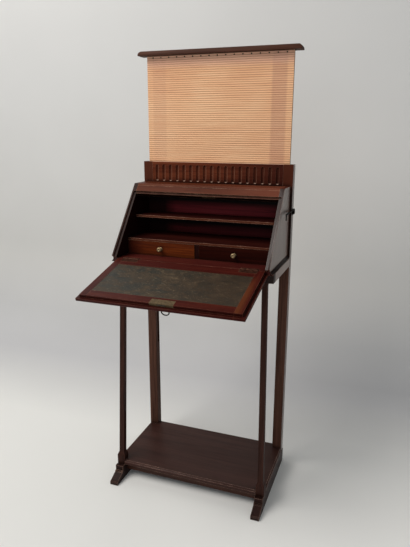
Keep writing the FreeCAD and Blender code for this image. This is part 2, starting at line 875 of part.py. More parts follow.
def flap_frame():
    """The fall's frame: two end clamps, front and rear rails, and a board that carries the leather."""
    half = flap_half_span
    heel = size("flap_heel_gap")
    inner_x = half - size("border_side")
    board_out = (size("border_rear"), flap_long - size("border_front"))
    lip_half = half + lip_wide
    easing = size("lip_easing")
    for name, side in SIDES.items():
        core = flap_box(mirrored(side, inner_x, half), (heel, flap_long), (ZERO, flap_thick))
        lip = flap_box(mirrored(side, half, lip_half), (heel, flap_tip), (flap_core, flap_thick))
        corner = flap_box(mirrored(side, inner_x, half), (flap_long, flap_tip), (flap_core, flap_thick))
        joined = doc.addObject("Part::MultiFuse", "Clamp")
        joined.Shapes = [core, lip, corner]
        joined.Refine = True
        outer = side * lip_half.number
        clamp = eased(
            joined,
            easing,
            lambda edge: abs(edge.CenterOfMass.z + flap_thick.number) < 1e-4
            and (abs(edge.CenterOfMass.x - outer) < 1e-4 or near(edge.CenterOfMass.y, -flap_tip)),
        )
        keep("flap_clamp_" + name, on_flap(cut(clamp, *flap_leaf_mortise())))
    rear = flap_box(centred(inner_x), (heel, board_out[0]), (ZERO, flap_thick))
    keep("flap_rear_rail", on_flap(cut(rear, *flap_leaf_mortise())))
    core = flap_box(centred(inner_x), (board_out[1], flap_long), (ZERO, flap_thick))
    lip = flap_box(centred(inner_x), (flap_long, flap_tip), (flap_core, flap_thick))
    joined = doc.addObject("Part::MultiFuse", "FrontRail")
    joined.Shapes = [core, lip]
    joined.Refine = True
    rail = eased(
        joined,
        easing,
        lambda edge: runs_along(edge, "x")
        and near(edge.CenterOfMass.y, -flap_tip)
        and near(edge.CenterOfMass.z, -flap_thick),
    )
    keep("flap_front_rail", on_flap(cut(rail, *lock_pocket())))
    bed = size("leather_thick") + size("leather_sink")
    keep("flap_board", on_flap(flap_box(centred(inner_x), board_out, (bed, flap_thick))))
    keep("writing_leather", on_flap(flap_box(centred(inner_x), board_out, (size("leather_sink"), bed))))


plate_thick = size("selvedge_thick")
lock_x = about(size("lock_offset"), size("lock_half_long"))
lock_far = flap_long - plate_thick
lock_near = flap_long - size("selvedge_wide")
lock_low = plate_thick + size("lock_thick")
bolt_fit = size("bolt_fit")
key_x = size("lock_offset") + size("key_offset")
key_out = flap_long - size("key_setback")
key_radius = size("key_radius")
key_fit = size("key_fit")


def upright_rod(radius, top_sink, low_sink):
    """A cylinder about the key's axis, square to the fall's face, from one depth below it to another."""
    return rod("z", radius, (key_x, -key_out, -low_sink), low_sink - top_sink)


def keyhole(top_sink, low_sink):
    """A hole for the shank, with a slot beside it, towards the hinges, through which the bit passes."""
    slot_half = size("key_bit_thick") / 2 + key_fit
    slot_out = (key_out - key_radius - size("key_bit_long") - key_fit, key_out)
    slot = flap_box(about(key_x, slot_half), slot_out, (top_sink, low_sink))
    return [upright_rod(key_radius + key_fit, top_sink, low_sink), slot]


def lock_pocket():
    """The room in the front rail for the lock, its angled face plate and the key."""
    body = flap_box(lock_x, (lock_near, lock_far), (-overrun, lock_low))
    fold = flap_box(lock_x, (lock_far - overrun, flap_long + overrun), (-overrun, flap_core))
    return [body, fold, *keyhole(plate_thick, flap_thick + overrun)]


def bolt_block(fit, out):
    """The bolt, or the channel in which it slides where the fit is more than nothing."""
    x = about(size("lock_offset"), size("bolt_half_long") + fit)
    sink = (size("bolt_sink") - fit, size("bolt_sink") + size("bolt_thick") + fit)
    return flap_box(x, out, sink)


def lock():
    """The lock: case with a bolt channel and a key well, an angled face plate, bolt, key and escutcheon."""
    bolt_out = (lock_far - size("bolt_deep"), flap_long)
    channel_out = (bolt_out[0] - bolt_fit, flap_long + overrun)
    well_top = size("bolt_sink") + size("bolt_thick") + bolt_fit * 2
    well_low = well_top + size("key_well_high")
    well = upright_rod(key_radius + size("key_bit_long") + key_fit, well_top, well_low)
    case = flap_box(lock_x, (lock_near, lock_far), (plate_thick, lock_low))
    hollows = [bolt_block(bolt_fit, channel_out), well, *keyhole(well_top, lock_low + overrun)]
    keep("lock_case", on_flap(cut(case, *hollows)))
    flat = flap_box(lock_x, (lock_near, flap_long), (ZERO, plate_thick))
    fold = flap_box(lock_x, (lock_far, flap_long), (ZERO, flap_core))
    angle = doc.addObject("Part::MultiFuse", "Angle")
    angle.Shapes = [flat, fold]
    angle.Refine = True
    keep("lock_face_plate", on_flap(cut(angle, bolt_block(bolt_fit, channel_out))))
    keep("lock_bolt", on_flap(bolt_block(ZERO, bolt_out)))
    thick = size("escutcheon_thick")
    disc = upright_rod(size("escutcheon_radius"), flap_thick, flap_thick + thick)
    hole = keyhole(flap_thick - overrun, flap_thick + thick + overrun)
    keep("escutcheon", on_flap(cut(disc, *hole)))
    keep("key", on_flap(key(well_top, well_low)))


def key(well_top, well_low):
    """The key, in the lock from the outer face: an oval ring bow, a round shank and a small bit."""
    radius = key_radius.number
    x = key_x.number
    y = -key_out.number
    point = FreeCAD.Vector
    top = -(well_top + key_fit).number
    shank_low = -(flap_thick + size("key_shank")).number
    shank = Part.makeCylinder(radius, top - shank_low, point(x, y, shank_low))
    wire = size("key_bow_wire").number
    half_wide = size("key_bow_half_wide").number
    half_high = size("key_bow_half_high").number
    oval = Part.Wire([Part.Ellipse(point(), half_wide, half_high).toShape()])
    section = Part.Wire([Part.Circle(point(half_wide, 0, 0), point(0, 1, 0), wire).toShape()])
    bow = oval.makePipeShell([section], True, False)
    bow.rotate(point(), point(1, 0, 0), 90)
    bow.translate(point(x, y, shank_low - half_high + wire))
    bit_long = size("key_bit_long").number
    bit_high = (well_low - well_top).number - key_fit.number * 2
    bit_thick = size("key_bit_thick").number
    bit = Part.makeBox(radius + bit_long, bit_thick, bit_high, point(x, y - bit_thick / 2, top - bit_high))
    return solid(shank.fuse([bow, bit]))


def hinge_knuckles(keeps_middle, centre, half_long, y, z):
    """The rolled knuckles of one leaf: the middle one, or the outer two."""
    radius = size("knuckle_radius")
    gap = size("knuckle_gap")
    share = size("knuckle_share")
    middle_half = half_long * share
    if keeps_middle:
        return [rod("x", radius, (centre - middle_half, y, z), middle_half * 2)]
    span = half_long - middle_half - gap
    return [
        rod("x", radius, (centre - half_long, y, z), span),
        rod("x", radius, (centre + half_long - span, y, z), span),
    ]


def group(label, members):
    """Keeps several like solids as one node."""
    made = doc.addObject("Part::Compound", "Group")
    made.Links = members
    return keep(label, made)


def hinges():
    """Two brass hinges: leaves on the floor, leaves on the fall, pins, and the screws of each leaf."""
    half = size("hinge_long") / 2
    bore_radius = size("hinge_pin_radius") + size("pin_fit")
    thick = size("leaf_thick")
    gap = size("knuckle_gap")
    channel = size("knuckle_radius") + gap
    middle_half = half * size("knuckle_share")
    floor_leaves = []
    flap_leaves = []
    floor_screws = []
    flap_screws = []
    pins = []
    for side in SIDES.values():
        centre = side * hinge_centre
        x = about(centre, half)
        places = leaf_screw_places(side)
        floor_screw_y = pin_y + leaf_screw_reach()
        bore = rod("x", bore_radius, (x[0] - overrun, pin_y, pin_z), half * 2 + overrun * 2)
        relief = rod("x", channel, (centre - middle_half - gap, pin_y, pin_z), (middle_half + gap) * 2)
        leaf = box(x, (pin_y, pin_y + size("leaf_wide")), (floor_top - thick, floor_top))
        holes = [upright_screw(place, floor_screw_y, floor_top, size("screw_fit")) for place in places]
        rolled = fuse(cut(leaf, relief, *holes), *hinge_knuckles(False, centre, half, pin_y, pin_z))
        floor_leaves.append(cut(rolled, bore))
        flap_bore = rod("x", bore_radius, (x[0] - overrun, ZERO, ZERO), half * 2 + overrun * 2)
        flap_leaf = flap_box(x, (ZERO, size("leaf_wide")), (ZERO, thick))
        reliefs = [
            rod("x", channel, (x[0] - gap, ZERO, ZERO), half - middle_half + gap),
            rod("x", channel, (centre + middle_half, ZERO, ZERO), half - middle_half + gap),
        ]
        flap_holes = [upright_screw(place, -leaf_screw_reach(), ZERO, size("screw_fit")) for place in places]
        flap_rolled = fuse(cut(flap_leaf, *reliefs, *flap_holes), *hinge_knuckles(True, centre, half, ZERO, ZERO))
        flap_leaves.append(cut(flap_rolled, flap_bore))
        pins.append(rod("x", size("hinge_pin_radius"), (x[0], pin_y, pin_z), half * 2))
        floor_screws += [upright_screw(place, floor_screw_y, floor_top, ZERO) for place in places]
        flap_screws += [upright_screw(place, -leaf_screw_reach(), ZERO, ZERO) for place in places]
    group("hinge_floor_leaves", floor_leaves)
    group("hinge_pins", pins)
    group("hinge_floor_screws", floor_screws)
    on_flap(group("hinge_flap_leaves", flap_leaves))
    on_flap(group("hinge_flap_screws", flap_screws))


screen_half_span = post_inner + size("groove_deep") - size("screen_fit")
cloth_front = face + size("groove_setback") + size("cloth_gap") * 3
frame_front = cloth_front + size("cloth_thick") + size("rib_proud") + size("cloth_gap")
frame_back = frame_front + size("screen_frame_thick")
screen_top = post_top + size("screen_rise")
screen_low = screen_top - size("screen_high")
cap_middle_y = face + cap_middle


def screen():
    """The rising screen: a frame of stiles and rails, ribbed cloth over its front, a moulded cap, and tacks."""
    wide = size("stile_wide")
    y = (frame_front, frame_back)
    inner = screen_half_span - wide
    for name, side in SIDES.items():
        keep("screen_stile_" + name, box(mirrored(side, inner, screen_half_span), y, (screen_low, screen_top)))
    high = size("screen_rail_high")
    keep("screen_top_rail", box(centred(inner), y, (screen_top - high, screen_top)))
    keep("screen_bottom_rail", box(centred(inner), y, (screen_low, screen_low + high)))
    keep("screen_cloth", ribbed_cloth())
    cap_z = (screen_top, screen_top + size("cap_high"))
    cap_blank = box(centred(post_half_span + size("cap_overhang")), about(cap_middle_y, size("cap_half_deep")), cap_z)
    cap_top = cap_z[1]
    keep("screen_cap", eased(cap_blank, size("cap_round"), lambda edge: near(edge.CenterOfMass.z, cap_top)))
    count = int((screen_half_span.number - wide.number / 2) / size("tack_pitch").number) * 2 + 1
    tacks = []
    for index in range(count):
        x = size("tack_pitch") * (index - (count - 1) / 2)
        z = screen_top - size("tack_drop")
        tacks.append(rod("y", size("tack_radius"), (x, cloth_front - size("tack_proud"), z), size("tack_proud")))
    group("screen_tacks", tacks)


def ribbed_cloth():
    """The cloth, whose front rises in level ribs from edge to edge."""
    low = screen_low.number
    high = screen_top.number
    count = max(1, round((high - low) / size("rib_pitch").number))
    step = (high - low) / count
    crest = cloth_front.number
    valley = crest + size("rib_proud").number
    back = valley + size("cloth_thick").number
    half = screen_half_span.number
    point = FreeCAD.Vector
    edges = []
    for index in range(count):
        start = low + index * step
        ends = (point(-half, valley, start), point(-half, crest, start + step / 2), point(-half, valley, start + step))
        edges.append(Part.Arc(*ends).toShape())
    edges.append(Part.makeLine(point(-half, valley, high), point(-half, back, high)))
    edges.append(Part.makeLine(point(-half, back, high), point(-half, back, low)))
    edges.append(Part.makeLine(point(-half, back, low), point(-half, valley, low)))
    return solid(Part.Face(Part.Wire(edges)).extrude(point(half * 2, 0, 0)))


catch_y = face + post_deep / 2
catch_z = post_top - size("catch_drop")


def catch_bore():
    start = (post_inner + size("groove_deep") - overrun, catch_y, catch_z)
    return rod("x", size("catch_spindle_radius") + size("catch_fit"), start, post_wide)


def screen_catch():
    """The turning catch on the right post: a rose, and a lever whose spindle bears on the screen's edge."""
    rose_x = post_half_span
    thick = size("catch_rose_thick")
    rose = rod("x", size("catch_rose_radius"), (rose_x, catch_y, catch_z), thick)
    keep("catch_rose", cut(rose, catch_bore()))
    spindle_low = post_inner + size("groove_deep")
    hub_low = rose_x + thick + size("catch_hub_gap")
    hub_thick = size("catch_hub_thick")
    spindle = rod("x", size("catch_spindle_radius"), (spindle_low, catch_y, catch_z), hub_low - spindle_low)
    hub = rod("x", size("catch_hub_radius"), (hub_low, catch_y, catch_z), hub_thick)
    arm_x = (hub_low, hub_low + size("catch_arm_thick"))
    arm_low = catch_z + size("catch_arm_rise")
    arm_top = arm_low + size("catch_arm_high")
    arm_tip = catch_y - size("catch_arm_long")
    arm = box(arm_x, (arm_tip, catch_y), (arm_low, arm_top))
    tail = box(arm_x, (arm_tip, arm_tip + size("catch_tail_wide")), (arm_top - size("catch_tail_long"), arm_top))
    wire = size("catch_ring_wire")
    ring = doc.addObject("Part::Torus", "Ring")
    ring.Placement = FreeCAD.Placement(FreeCAD.Vector(), TURNS["x"])
    ring.setExpression("Radius1", size("catch_ring_radius").text)
    ring.setExpression("Radius2", wire.text)
    centre = (hub_low + wire, catch_y + size("catch_ring_offset"), catch_z + size("catch_ring_rise"))
    for letter, value in zip("xyz", centre):
        ring.setExpression("Placement.Base." + letter, value.text)
    keep("catch_lever", fuse(spindle, hub, arm, tail, ring))


for name, side in SIDES.items():
    sled(name, side)
    rear_post(name, side)
    front_leg(name, side)
    case_side(name, side)
    drawer(name, side)
lower_shelf()
shelf_rails()
frieze()
base_frame()
case_floor()
case_inside()
case_shell()
flap_frame()
lock()
hinges()
screen()
screen_catch()
doc.recompute()

for made in doc.Objects:
    if "Invalid" in made.State or "Error" in made.State:
        raise RuntimeError(f"{made.Name} ({made.Label}) did not compute: {made.State}")
for label, made in nodes.items():
    if made.Shape.isNull() or not made.Shape.isValid() or not made.Shape.Solids:
        raise RuntimeError(f"{label} has no sound solid")

os.makedirs("parts", exist_ok=True)
for label, made in nodes.items():
    made.Shape.exportStep(f"parts/{label}.step")
    limits = made.Shape.BoundBox
    print(
        f"{label:26s} solids {len(made.Shape.Solids):2d}  volume {made.Shape.Volume / 1000:9.2f} cm3"
        f"  x {limits.XMin:7.1f} {limits.XMax:7.1f}  y {limits.YMin:7.1f} {limits.YMax:7.1f}"
        f"  z {limits.ZMin:7.1f} {limits.ZMax:7.1f}"
    )
print(len(nodes), "pieces")
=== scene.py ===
# %% [markdown]
# A lady's writing desk in mahogany, with a cloth screen that rises behind it.
# The solids of the joiner's work come ready made and stay where they are. This
# lesson gives each of them its finish, eases the sharp arrises, and makes the
# two soft coverings, the leather and the ribbed cloth, as meshes.

# %% Load the joinery
import math

import bpy
from mathutils import Matrix, Vector, noise


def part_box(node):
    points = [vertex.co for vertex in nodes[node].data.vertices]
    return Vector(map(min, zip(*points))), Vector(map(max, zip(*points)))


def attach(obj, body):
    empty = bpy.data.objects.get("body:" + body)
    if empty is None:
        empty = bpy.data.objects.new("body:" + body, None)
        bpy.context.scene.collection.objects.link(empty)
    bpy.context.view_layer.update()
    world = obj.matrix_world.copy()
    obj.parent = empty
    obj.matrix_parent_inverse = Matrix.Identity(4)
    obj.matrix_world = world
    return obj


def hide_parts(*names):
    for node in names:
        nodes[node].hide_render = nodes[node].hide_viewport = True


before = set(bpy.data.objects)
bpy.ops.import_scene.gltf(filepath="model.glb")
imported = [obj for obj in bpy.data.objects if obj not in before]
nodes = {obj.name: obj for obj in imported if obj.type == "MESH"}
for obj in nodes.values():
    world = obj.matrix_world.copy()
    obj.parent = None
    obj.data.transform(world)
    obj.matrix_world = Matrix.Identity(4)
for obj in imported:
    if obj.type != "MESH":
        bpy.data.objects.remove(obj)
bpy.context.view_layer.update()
MM = 0.001

# %% [markdown]
# The camera stands where the photographer stood: a little right of the desk,
# at about the height of the case, and looking slightly down. Its place and
# aim were worked out from the corners of posts, shelf and case.

# %% Camera
CAMERA_PLACE = Vector((0.53155, -1.32807, 1.06762))
CAMERA_AIM = Vector((-0.32566654, 0.91005209, -0.25641081))
CAMERA_RIGHT = Vector((0.94103785, 0.33825917, 0.00533878))
CAMERA_LENS_MM = 34.43
CAMERA_SHIFT = (-0.0086, 0.0005)

camera = bpy.data.objects.new("camera", bpy.data.cameras.new("camera"))
bpy.context.scene.collection.objects.link(camera)
camera_up = CAMERA_RIGHT.cross(CAMERA_AIM)
axes = Matrix((CAMERA_RIGHT, camera_up, -CAMERA_AIM)).transposed()
camera.matrix_world = Matrix.Translation(CAMERA_PLACE) @ axes.to_4x4()
camera.data.lens = CAMERA_LENS_MM
camera.data.shift_x, camera.data.shift_y = CAMERA_SHIFT
bpy.context.scene.camera = camera
bpy.context.scene.view_settings.view_transform = "Standard"
print("camera", round(CAMERA_PLACE.length, 3), "m from the origin, lens", CAMERA_LENS_MM, "mm")

# %% [markdown]
# Colours are written as a paint chart gives them, in sRGB hex. The renderer
# adds light in linear values, so one function turns each chart colour.

# %% Colours
def linear(chart):
    """A linear RGBA colour from an sRGB hex such as #4A2015."""
    parts = [int(chart[i:i + 2], 16) / 255 for i in (1, 3, 5)]
    return [p / 12.92 if p <= 0.04045 else ((p + 0.055) / 1.055) ** 2.4 for p in parts] + [1.0]


print("chart colour #4A2015 in linear light", [round(part, 4) for part in linear("#4A2015")[:3]])

# %% [markdown]
# A material is a tree of nodes, and one small function adds any of them. A
# finish is laid on in layers: a first colour, and others over it wherever a
# mask, a value from 0 to 1, lets them show.

# %% Nodes and layers
def add(tree, kind, sockets=None, **settings):
    """One node of a material: settings are its own, sockets are values or the outputs that feed it."""
    made = tree.nodes.new("ShaderNode" + kind)
    for name, value in settings.items():
        setattr(made, name, value)
    for name, value in (sockets or {}).items():
        if isinstance(value, bpy.types.NodeSocket):
            tree.links.new(value, made.inputs[name])
        else:
            made.inputs[name].default_value = value
    return made


def ramp(tree, value, stops):
    """A colour ramp with its stops as (place, chart colour)."""
    made = add(tree, "ValToRGB", {"Fac": value})
    points = made.color_ramp.elements
    while len(points) < len(stops):
        points.new(0.5)
    for point, (place, chart) in zip(points, stops):
        point.position = place
        point.color = linear(chart)
    return made.outputs["Color"]


def layered(tree, colour, layers):
    """A colour with others laid over it, each as (mask, chart colour), the last one on top."""
    for mask, chart in layers:
        colour = add(tree, "Mix", {"Factor": mask, "A": colour, "B": linear(chart)},
                     data_type="RGBA").outputs["Result"]
    return colour


def new_material(name):
    """An empty material with its output and its shader joined."""
    made = bpy.data.materials.new(name)
    made.use_nodes = True
    made.node_tree.nodes.clear()
    shader = add(made.node_tree, "BsdfPrincipled")
    add(made.node_tree, "OutputMaterial", {"Surface": shader.outputs["BSDF"]})
    return made, made.node_tree, shader

# %% [markdown]
# Old furniture is seldom one colour all over. Each stain, worn spot and film of polish, and each patch of
# painted light and shade, gets a mask that is 0 on the plain board and rises to 1, or to less, where the
# change is whole. A mask painted by hand would need an image, so these are worked out from places on the
# desk, in millimetres.

# %% Masks by place
def place_in_desk(tree, tilt=0.0):
    """Where a point lies in the desk, or in a slope when turned by its tilt."""
    place = add(tree, "TexCoord").outputs["Object"]
    if tilt:
        place = add(tree, "Mapping", {"Vector": place, "Rotation": (tilt, 0, 0)}).outputs["Vector"]
    return place


def place_of(tree, axis, tilt=0.0):
    """Where a point lies along one axis of the desk, or of a slope."""
    return add(tree, "SeparateXYZ", {"Vector": place_in_desk(tree, tilt)}).outputs[axis]


def off_middle(tree):
    """How far a point lies from the desk's middle plane, on either side."""
    return add(tree, "Math", {0: place_of(tree, "X")}, operation="ABSOLUTE").outputs["Value"]


def between(tree, value, start_mm, full_mm, most=1.0):
    """Rises from 0 at the first place to most at the second, which may lie on either side of it."""
    return add(tree, "MapRange", {"Value": value, "From Min": start_mm * MM, "From Max": full_mm * MM,
                                  "To Min": 0.0, "To Max": most}).outputs["Result"]


def both(tree, first, second):
    """The product of two masks, or of a mask and a number."""
    return add(tree, "Math", {0: first, 1: second}, operation="MULTIPLY").outputs["Value"]

# %% [markdown]
# Wax and dust gather in hollows and inner corners, and hands rub the arrises; the darkened hollows are also
# painted shade, and the paler arrises painted highlights. Ambient occlusion finds the first: it is low where
# little open air reaches a point. The Bevel node finds the second: near an arris its rounded normal parts
# from the true one. Real wear is broken, so a patchy noise thins it.

# %% Dirt, wear, painted shade and painted highlights
RUBBED_PATCHES_PER_M = 45.0


def grime_and_shade(tree, reach_mm, most):
    """Rises towards most in hollows and inner corners: wax and dust, and painted shade."""
    open_air = add(tree, "AmbientOcclusion", {"Distance": reach_mm * MM}, samples=6)
    return add(tree, "MapRange", {
        "Value": open_air.outputs["AO"], "From Min": 0.97, "From Max": 0.45,
        "To Min": 0.0, "To Max": most}).outputs["Result"]


def edge_wear_and_glint(tree, reach_mm, most):
    """Rises towards most within reach_mm of an arris, broken up by a patchy noise."""
    soft = add(tree, "Bevel", {"Radius": reach_mm * MM}, samples=4)
    true = add(tree, "NewGeometry")
    same = add(tree, "VectorMath", {0: soft.outputs["Normal"], 1: true.outputs["Normal"]},
               operation="DOT_PRODUCT")
    rubbed = add(tree, "MapRange", {
        "Value": same.outputs["Value"], "From Min": 0.99, "From Max": 0.80, "To Min": 0.0, "To Max": most})
    patches = add(tree, "TexNoise", {"Vector": place_in_desk(tree), "Scale": RUBBED_PATCHES_PER_M,
                                     "Detail": 4.0, "Roughness": 0.7})
    broken = add(tree, "MapRange", {
        "Value": patches.outputs["Fac"], "From Min": 0.38, "From Max": 0.62, "To Min": 0.25, "To Max": 1.0})
    return both(tree, rubbed.outputs["Result"], broken.outputs["Result"])

# %% [markdown]
# Grain is noise pulled out along the board: streaks, broader ribbons of light
# and dark, and short dark pores. Each pattern has a length and a width in
# millimetres, and from them comes how often it repeats in a metre. The real
# pores are about 0.2 mm wide and 3 mm long, too fine for the render, so they
# are drawn 0.5 mm by 9 mm.

# %% Grain
GRAIN_ALONG = {"x": (1, 0, 0), "y": (0, 1, 0), "z": (0, 0, 1)}
STREAK_MM = (140, 5)
RIBBON_MM = (420, 26)
PORE_MM = (9, 0.5)
HAZE_MM = (90, 60)


def per_mm(*sizes):
    """Texture scale for a pattern whose repeats have these sizes in millimetres."""
    return [1000 / s for s in sizes]


def grain_place(tree, grain, long_mm, wide_mm, tilt=0.0):
    """Places in the board, stretched so that a pattern runs along the grain."""
    sizes = [long_mm if along else wide_mm for along in GRAIN_ALONG[grain]]
    return add(tree, "Mapping", {"Vector": place_in_desk(tree, tilt),
                                 "Scale": per_mm(*sizes)}).outputs["Vector"]


print("pores in a metre, along and across:", [round(repeats) for repeats in per_mm(*PORE_MM)])

# %% [markdown]
# Mahogany is a red-brown wood with an even, streaky grain. French polish, shellac rubbed on in many thin
# coats, lies over it as a clear smooth film, so the wood has its own soft gloss and the film a sharper one:
# that is the coat of the shader. Handling has rubbed the arrises to a paler brown, and the same paler brown
# is laid on as a painted highlight where an arris would catch the light.

# %% Polished mahogany
HOLLOW_MM = 14
GRIME_AND_SHADE_BROWN = "#0A0403"
GLOSS_SPREAD = 0.18
WOOD_IOR = 1.5
SHELLAC_IOR = 1.52
SHELLAC_ROUGHNESS = 0.32


def mahogany(name, grain, dark, middle, pale, wear_and_glint, gloss=0.38, film=0.1, shine=0.1, rub_and_glint=0.45,
             rub_and_glint_mm=1.6, dirt_and_shade=0.7, tilt=0.0, seed=0.0, stains_and_light=(), filmed=None):
    """Mahogany under polish: film is how thick it still is, rub_and_glint how pale the arrises are, from wear
    and painted highlights, dirt_and_shade how black the hollows are, from grime and painted shade, and filmed
    a mask of where the film is left."""
    made, tree, shader = new_material(name)
    streaks = add(tree, "TexNoise", {
        "Vector": grain_place(tree, grain, *STREAK_MM, tilt), "Scale": 1.0, "Detail": 4.0,
        "Roughness": 0.62, "Distortion": 0.5, "W": seed}, noise_dimensions="4D")
    ribbon = add(tree, "TexNoise", {
        "Vector": grain_place(tree, grain, *RIBBON_MM, tilt), "Scale": 1.0, "Detail": 2.0, "W": seed + 3},
        noise_dimensions="4D")
    pores = add(tree, "TexNoise", {
        "Vector": grain_place(tree, grain, *PORE_MM, tilt), "Scale": 1.0, "Detail": 2.0, "W": seed + 7},
        noise_dimensions="4D")
    tone = add(tree, "Mix", {"Factor": 0.45, "A": streaks.outputs["Fac"], "B": ribbon.outputs["Fac"]})
    wood = ramp(tree, tone.outputs["Result"], [(0.30, dark), (0.50, middle), (0.72, pale)])
    pore_mask = add(tree, "MapRange", {
        "Value": pores.outputs["Fac"], "From Min": 0.60, "From Max": 0.72, "To Min": 0.0, "To Max": 0.55})
    layers = [(where(tree), chart) for where, chart in stains_and_light]
    layers += [(pore_mask.outputs["Result"], dark), (grime_and_shade(tree, HOLLOW_MM, dirt_and_shade), GRIME_AND_SHADE_BROWN),
               (edge_wear_and_glint(tree, rub_and_glint_mm, rub_and_glint), wear_and_glint)]
    tree.links.new(layered(tree, wood, layers), shader.inputs["Base Color"])
    haze = add(tree, "TexNoise", {
        "Vector": grain_place(tree, grain, *HAZE_MM, tilt), "Scale": 1.0, "Detail": 5.0, "Roughness": 0.7})
    rough = add(tree, "MapRange", {
        "Value": haze.outputs["Fac"], "From Min": 0.3, "From Max": 0.75,
        "To Min": gloss, "To Max": gloss + GLOSS_SPREAD})
    tree.links.new(rough.outputs["Result"], shader.inputs["Roughness"])
    bump = add(tree, "Bump", {"Strength": 0.12, "Distance": 0.0002, "Height": pores.outputs["Fac"]},
               invert=True)
    tree.links.new(bump.outputs["Normal"], shader.inputs["Normal"])
    shader.inputs["IOR"].default_value = WOOD_IOR
    shader.inputs["Specular IOR Level"].default_value = shine
    shader.inputs["Coat Weight"].default_value = film
    if filmed:
        tree.links.new(both(tree, filmed(tree), film), shader.inputs["Coat Weight"])
    shader.inputs["Coat Roughness"].default_value = SHELLAC_ROUGHNESS
    shader.inputs["Coat IOR"].default_value = SHELLAC_IOR
    return made

# %% [markdown]
# The desk shows several browns of the one wood. The stand is the darkest. The
# case sides and the fluted board are a warmer brown, the fall's border is
# redder where hands have rubbed it, and one drawer front has faded to orange.
# Each board's grain runs along its length, as a joiner cuts it. The shelves and the divider inside the case,
# and the base rails under it, are darker browns, as painted shade.

# %% Wood for every board
BROWNS = {
    "post": dict(dark="#25150F", middle="#4E342A", pale="#664437", wear_and_glint="#7E5646", film=1.0, shine=0.05),
    "leg": dict(dark="#1A0D0A", middle="#36201A", pale="#482D25", wear_and_glint="#86614F", film=0.03, shine=0.05,
                rub_and_glint_mm=2.0),
    "sled": dict(dark="#160B09", middle="#2A1814", pale="#3A241F", wear_and_glint="#B89482", rub_and_glint=0.9, rub_and_glint_mm=2.6,
                 film=0.04),
    "rail": dict(dark="#1E0F0C", middle="#3E241B", pale="#563429", wear_and_glint="#8A6252", rub_and_glint=0.6),
    "cap": dict(dark="#22110D", middle="#43281D", pale="#58362B", wear_and_glint="#7A5242", film=0.0, gloss=0.55),
    "low_shelf": dict(dark="#26140F", middle="#37211C", pale="#432A25", wear_and_glint="#B48E7E", rub_and_glint=0.95, rub_and_glint_mm=2.6),
    # Under the case the base rails are painted near black, as shade.
    "dark_rail": dict(dark="#0E0605", middle="#1C0D09", pale="#281511", wear_and_glint="#6A4A3C"),
    "base_end": dict(dark="#3C281E", middle="#664538", pale="#7E5A4A", wear_and_glint="#8A6252", film=1.0),
    # The case floor's pale arris is a painted highlight on its rounded front edge.
    "case_floor": dict(dark="#260D0A", middle="#471915", pale="#602C22", wear_and_glint="#A87868", rub_and_glint=0.9, film=0.3,
                       shine=0.03),
    "case": dict(dark="#2B100A", middle="#522717", pale="#723C27", wear_and_glint="#B48A70", film=0.0, shine=0.06,
                 rub_and_glint=0.8, rub_and_glint_mm=2.0),
    "frieze": dict(dark="#2A110A", middle="#592919", pale="#783F28", wear_and_glint="#C89A82", film=0.0, shine=0.05,
                   rub_and_glint=0.45, rub_and_glint_mm=2.0, dirt_and_shade=0.9),
    "case_side": dict(dark="#2A110C", middle="#4C2217", pale="#6B3726", wear_and_glint="#A8866C", film=1.0, rub_and_glint=0.6,
                      rub_and_glint_mm=1.2),
    "back": dict(dark="#3E1318", middle="#74242A", pale="#8E343A", wear_and_glint="#8E6048", film=0.0, shine=0.06,
                 dirt_and_shade=0.35),
    # The shelves inside the case are painted darker, as shade.
    "shelf": dict(dark="#180605", middle="#30100C", pale="#431C15", wear_and_glint="#D0A088", film=0.0, rub_and_glint=1.0,
                  rub_and_glint_mm=2.0, shine=0.06),
    # The divider between the drawers is painted near black, as shade.
    "divider": dict(dark="#120504", middle="#240C09", pale="#34140F", wear_and_glint="#6E4430", film=0.0, shine=0.06),
    "fall": dict(dark="#240907", middle="#3C120E", pale="#522016", wear_and_glint="#A06A54", rub_and_glint=0.6, film=0.2,
                 shine=0.04),
    "red_drawer": dict(dark="#150302", middle="#260803", pale="#3A110A", wear_and_glint="#6E4430", film=0.0,
                       shine=0.04),
    "faded_drawer": dict(dark="#32110A", middle="#54210A", pale="#783811", wear_and_glint="#A86E38", film=0.02,
                         shine=0.06),
}

BOARDS = {
    ("post", "z"): ["rear_post_left", "rear_post_right"],
    ("leg", "z"): ["front_leg_left", "front_leg_right"],
    ("sled", "y"): ["sled_left", "sled_right"],
    ("base_end", "y"): ["base_end_rail_left", "base_end_rail_right"],
    ("rail", "x"): ["shelf_front_rail", "shelf_back_rail"],
    ("dark_rail", "x"): ["base_front_rail", "base_back_rail"],
    ("cap", "x"): ["screen_cap"],
    ("low_shelf", "x"): ["lower_shelf"],
    ("case", "x"): ["fascia_rail", "case_top"],
    ("case_floor", "x"): ["case_floor"],
    ("frieze", "x"): ["frieze_board"],
    ("case_side", "z"): ["case_side_left", "case_side_right"],
    ("back", "x"): ["case_back"],
    ("shelf", "x"): ["upper_shelf", "drawer_shelf"],
    ("divider", "z"): ["drawer_divider"],
    ("fall", "x"): ["flap_front_rail", "flap_rear_rail", "flap_board"],
    ("red_drawer", "x"): ["drawer_front_right"],
    ("faded_drawer", "x"): ["drawer_front_left"],
}
print("browns", len(BROWNS), "for", sum(len(names) for names in BOARDS.values()), "boards")

# %% [markdown]
# The stains and the painted light and shade need a few landmarks. Most are read from the boards themselves:
# the faces of the case sides, the tops of the case and the upper shelf, the outer faces of the posts. The
# fall and the case slope, so a height above either slope is a place turned by its angle. How thick the fall
# is, and how deep its lip, are the joiner's own sizes.

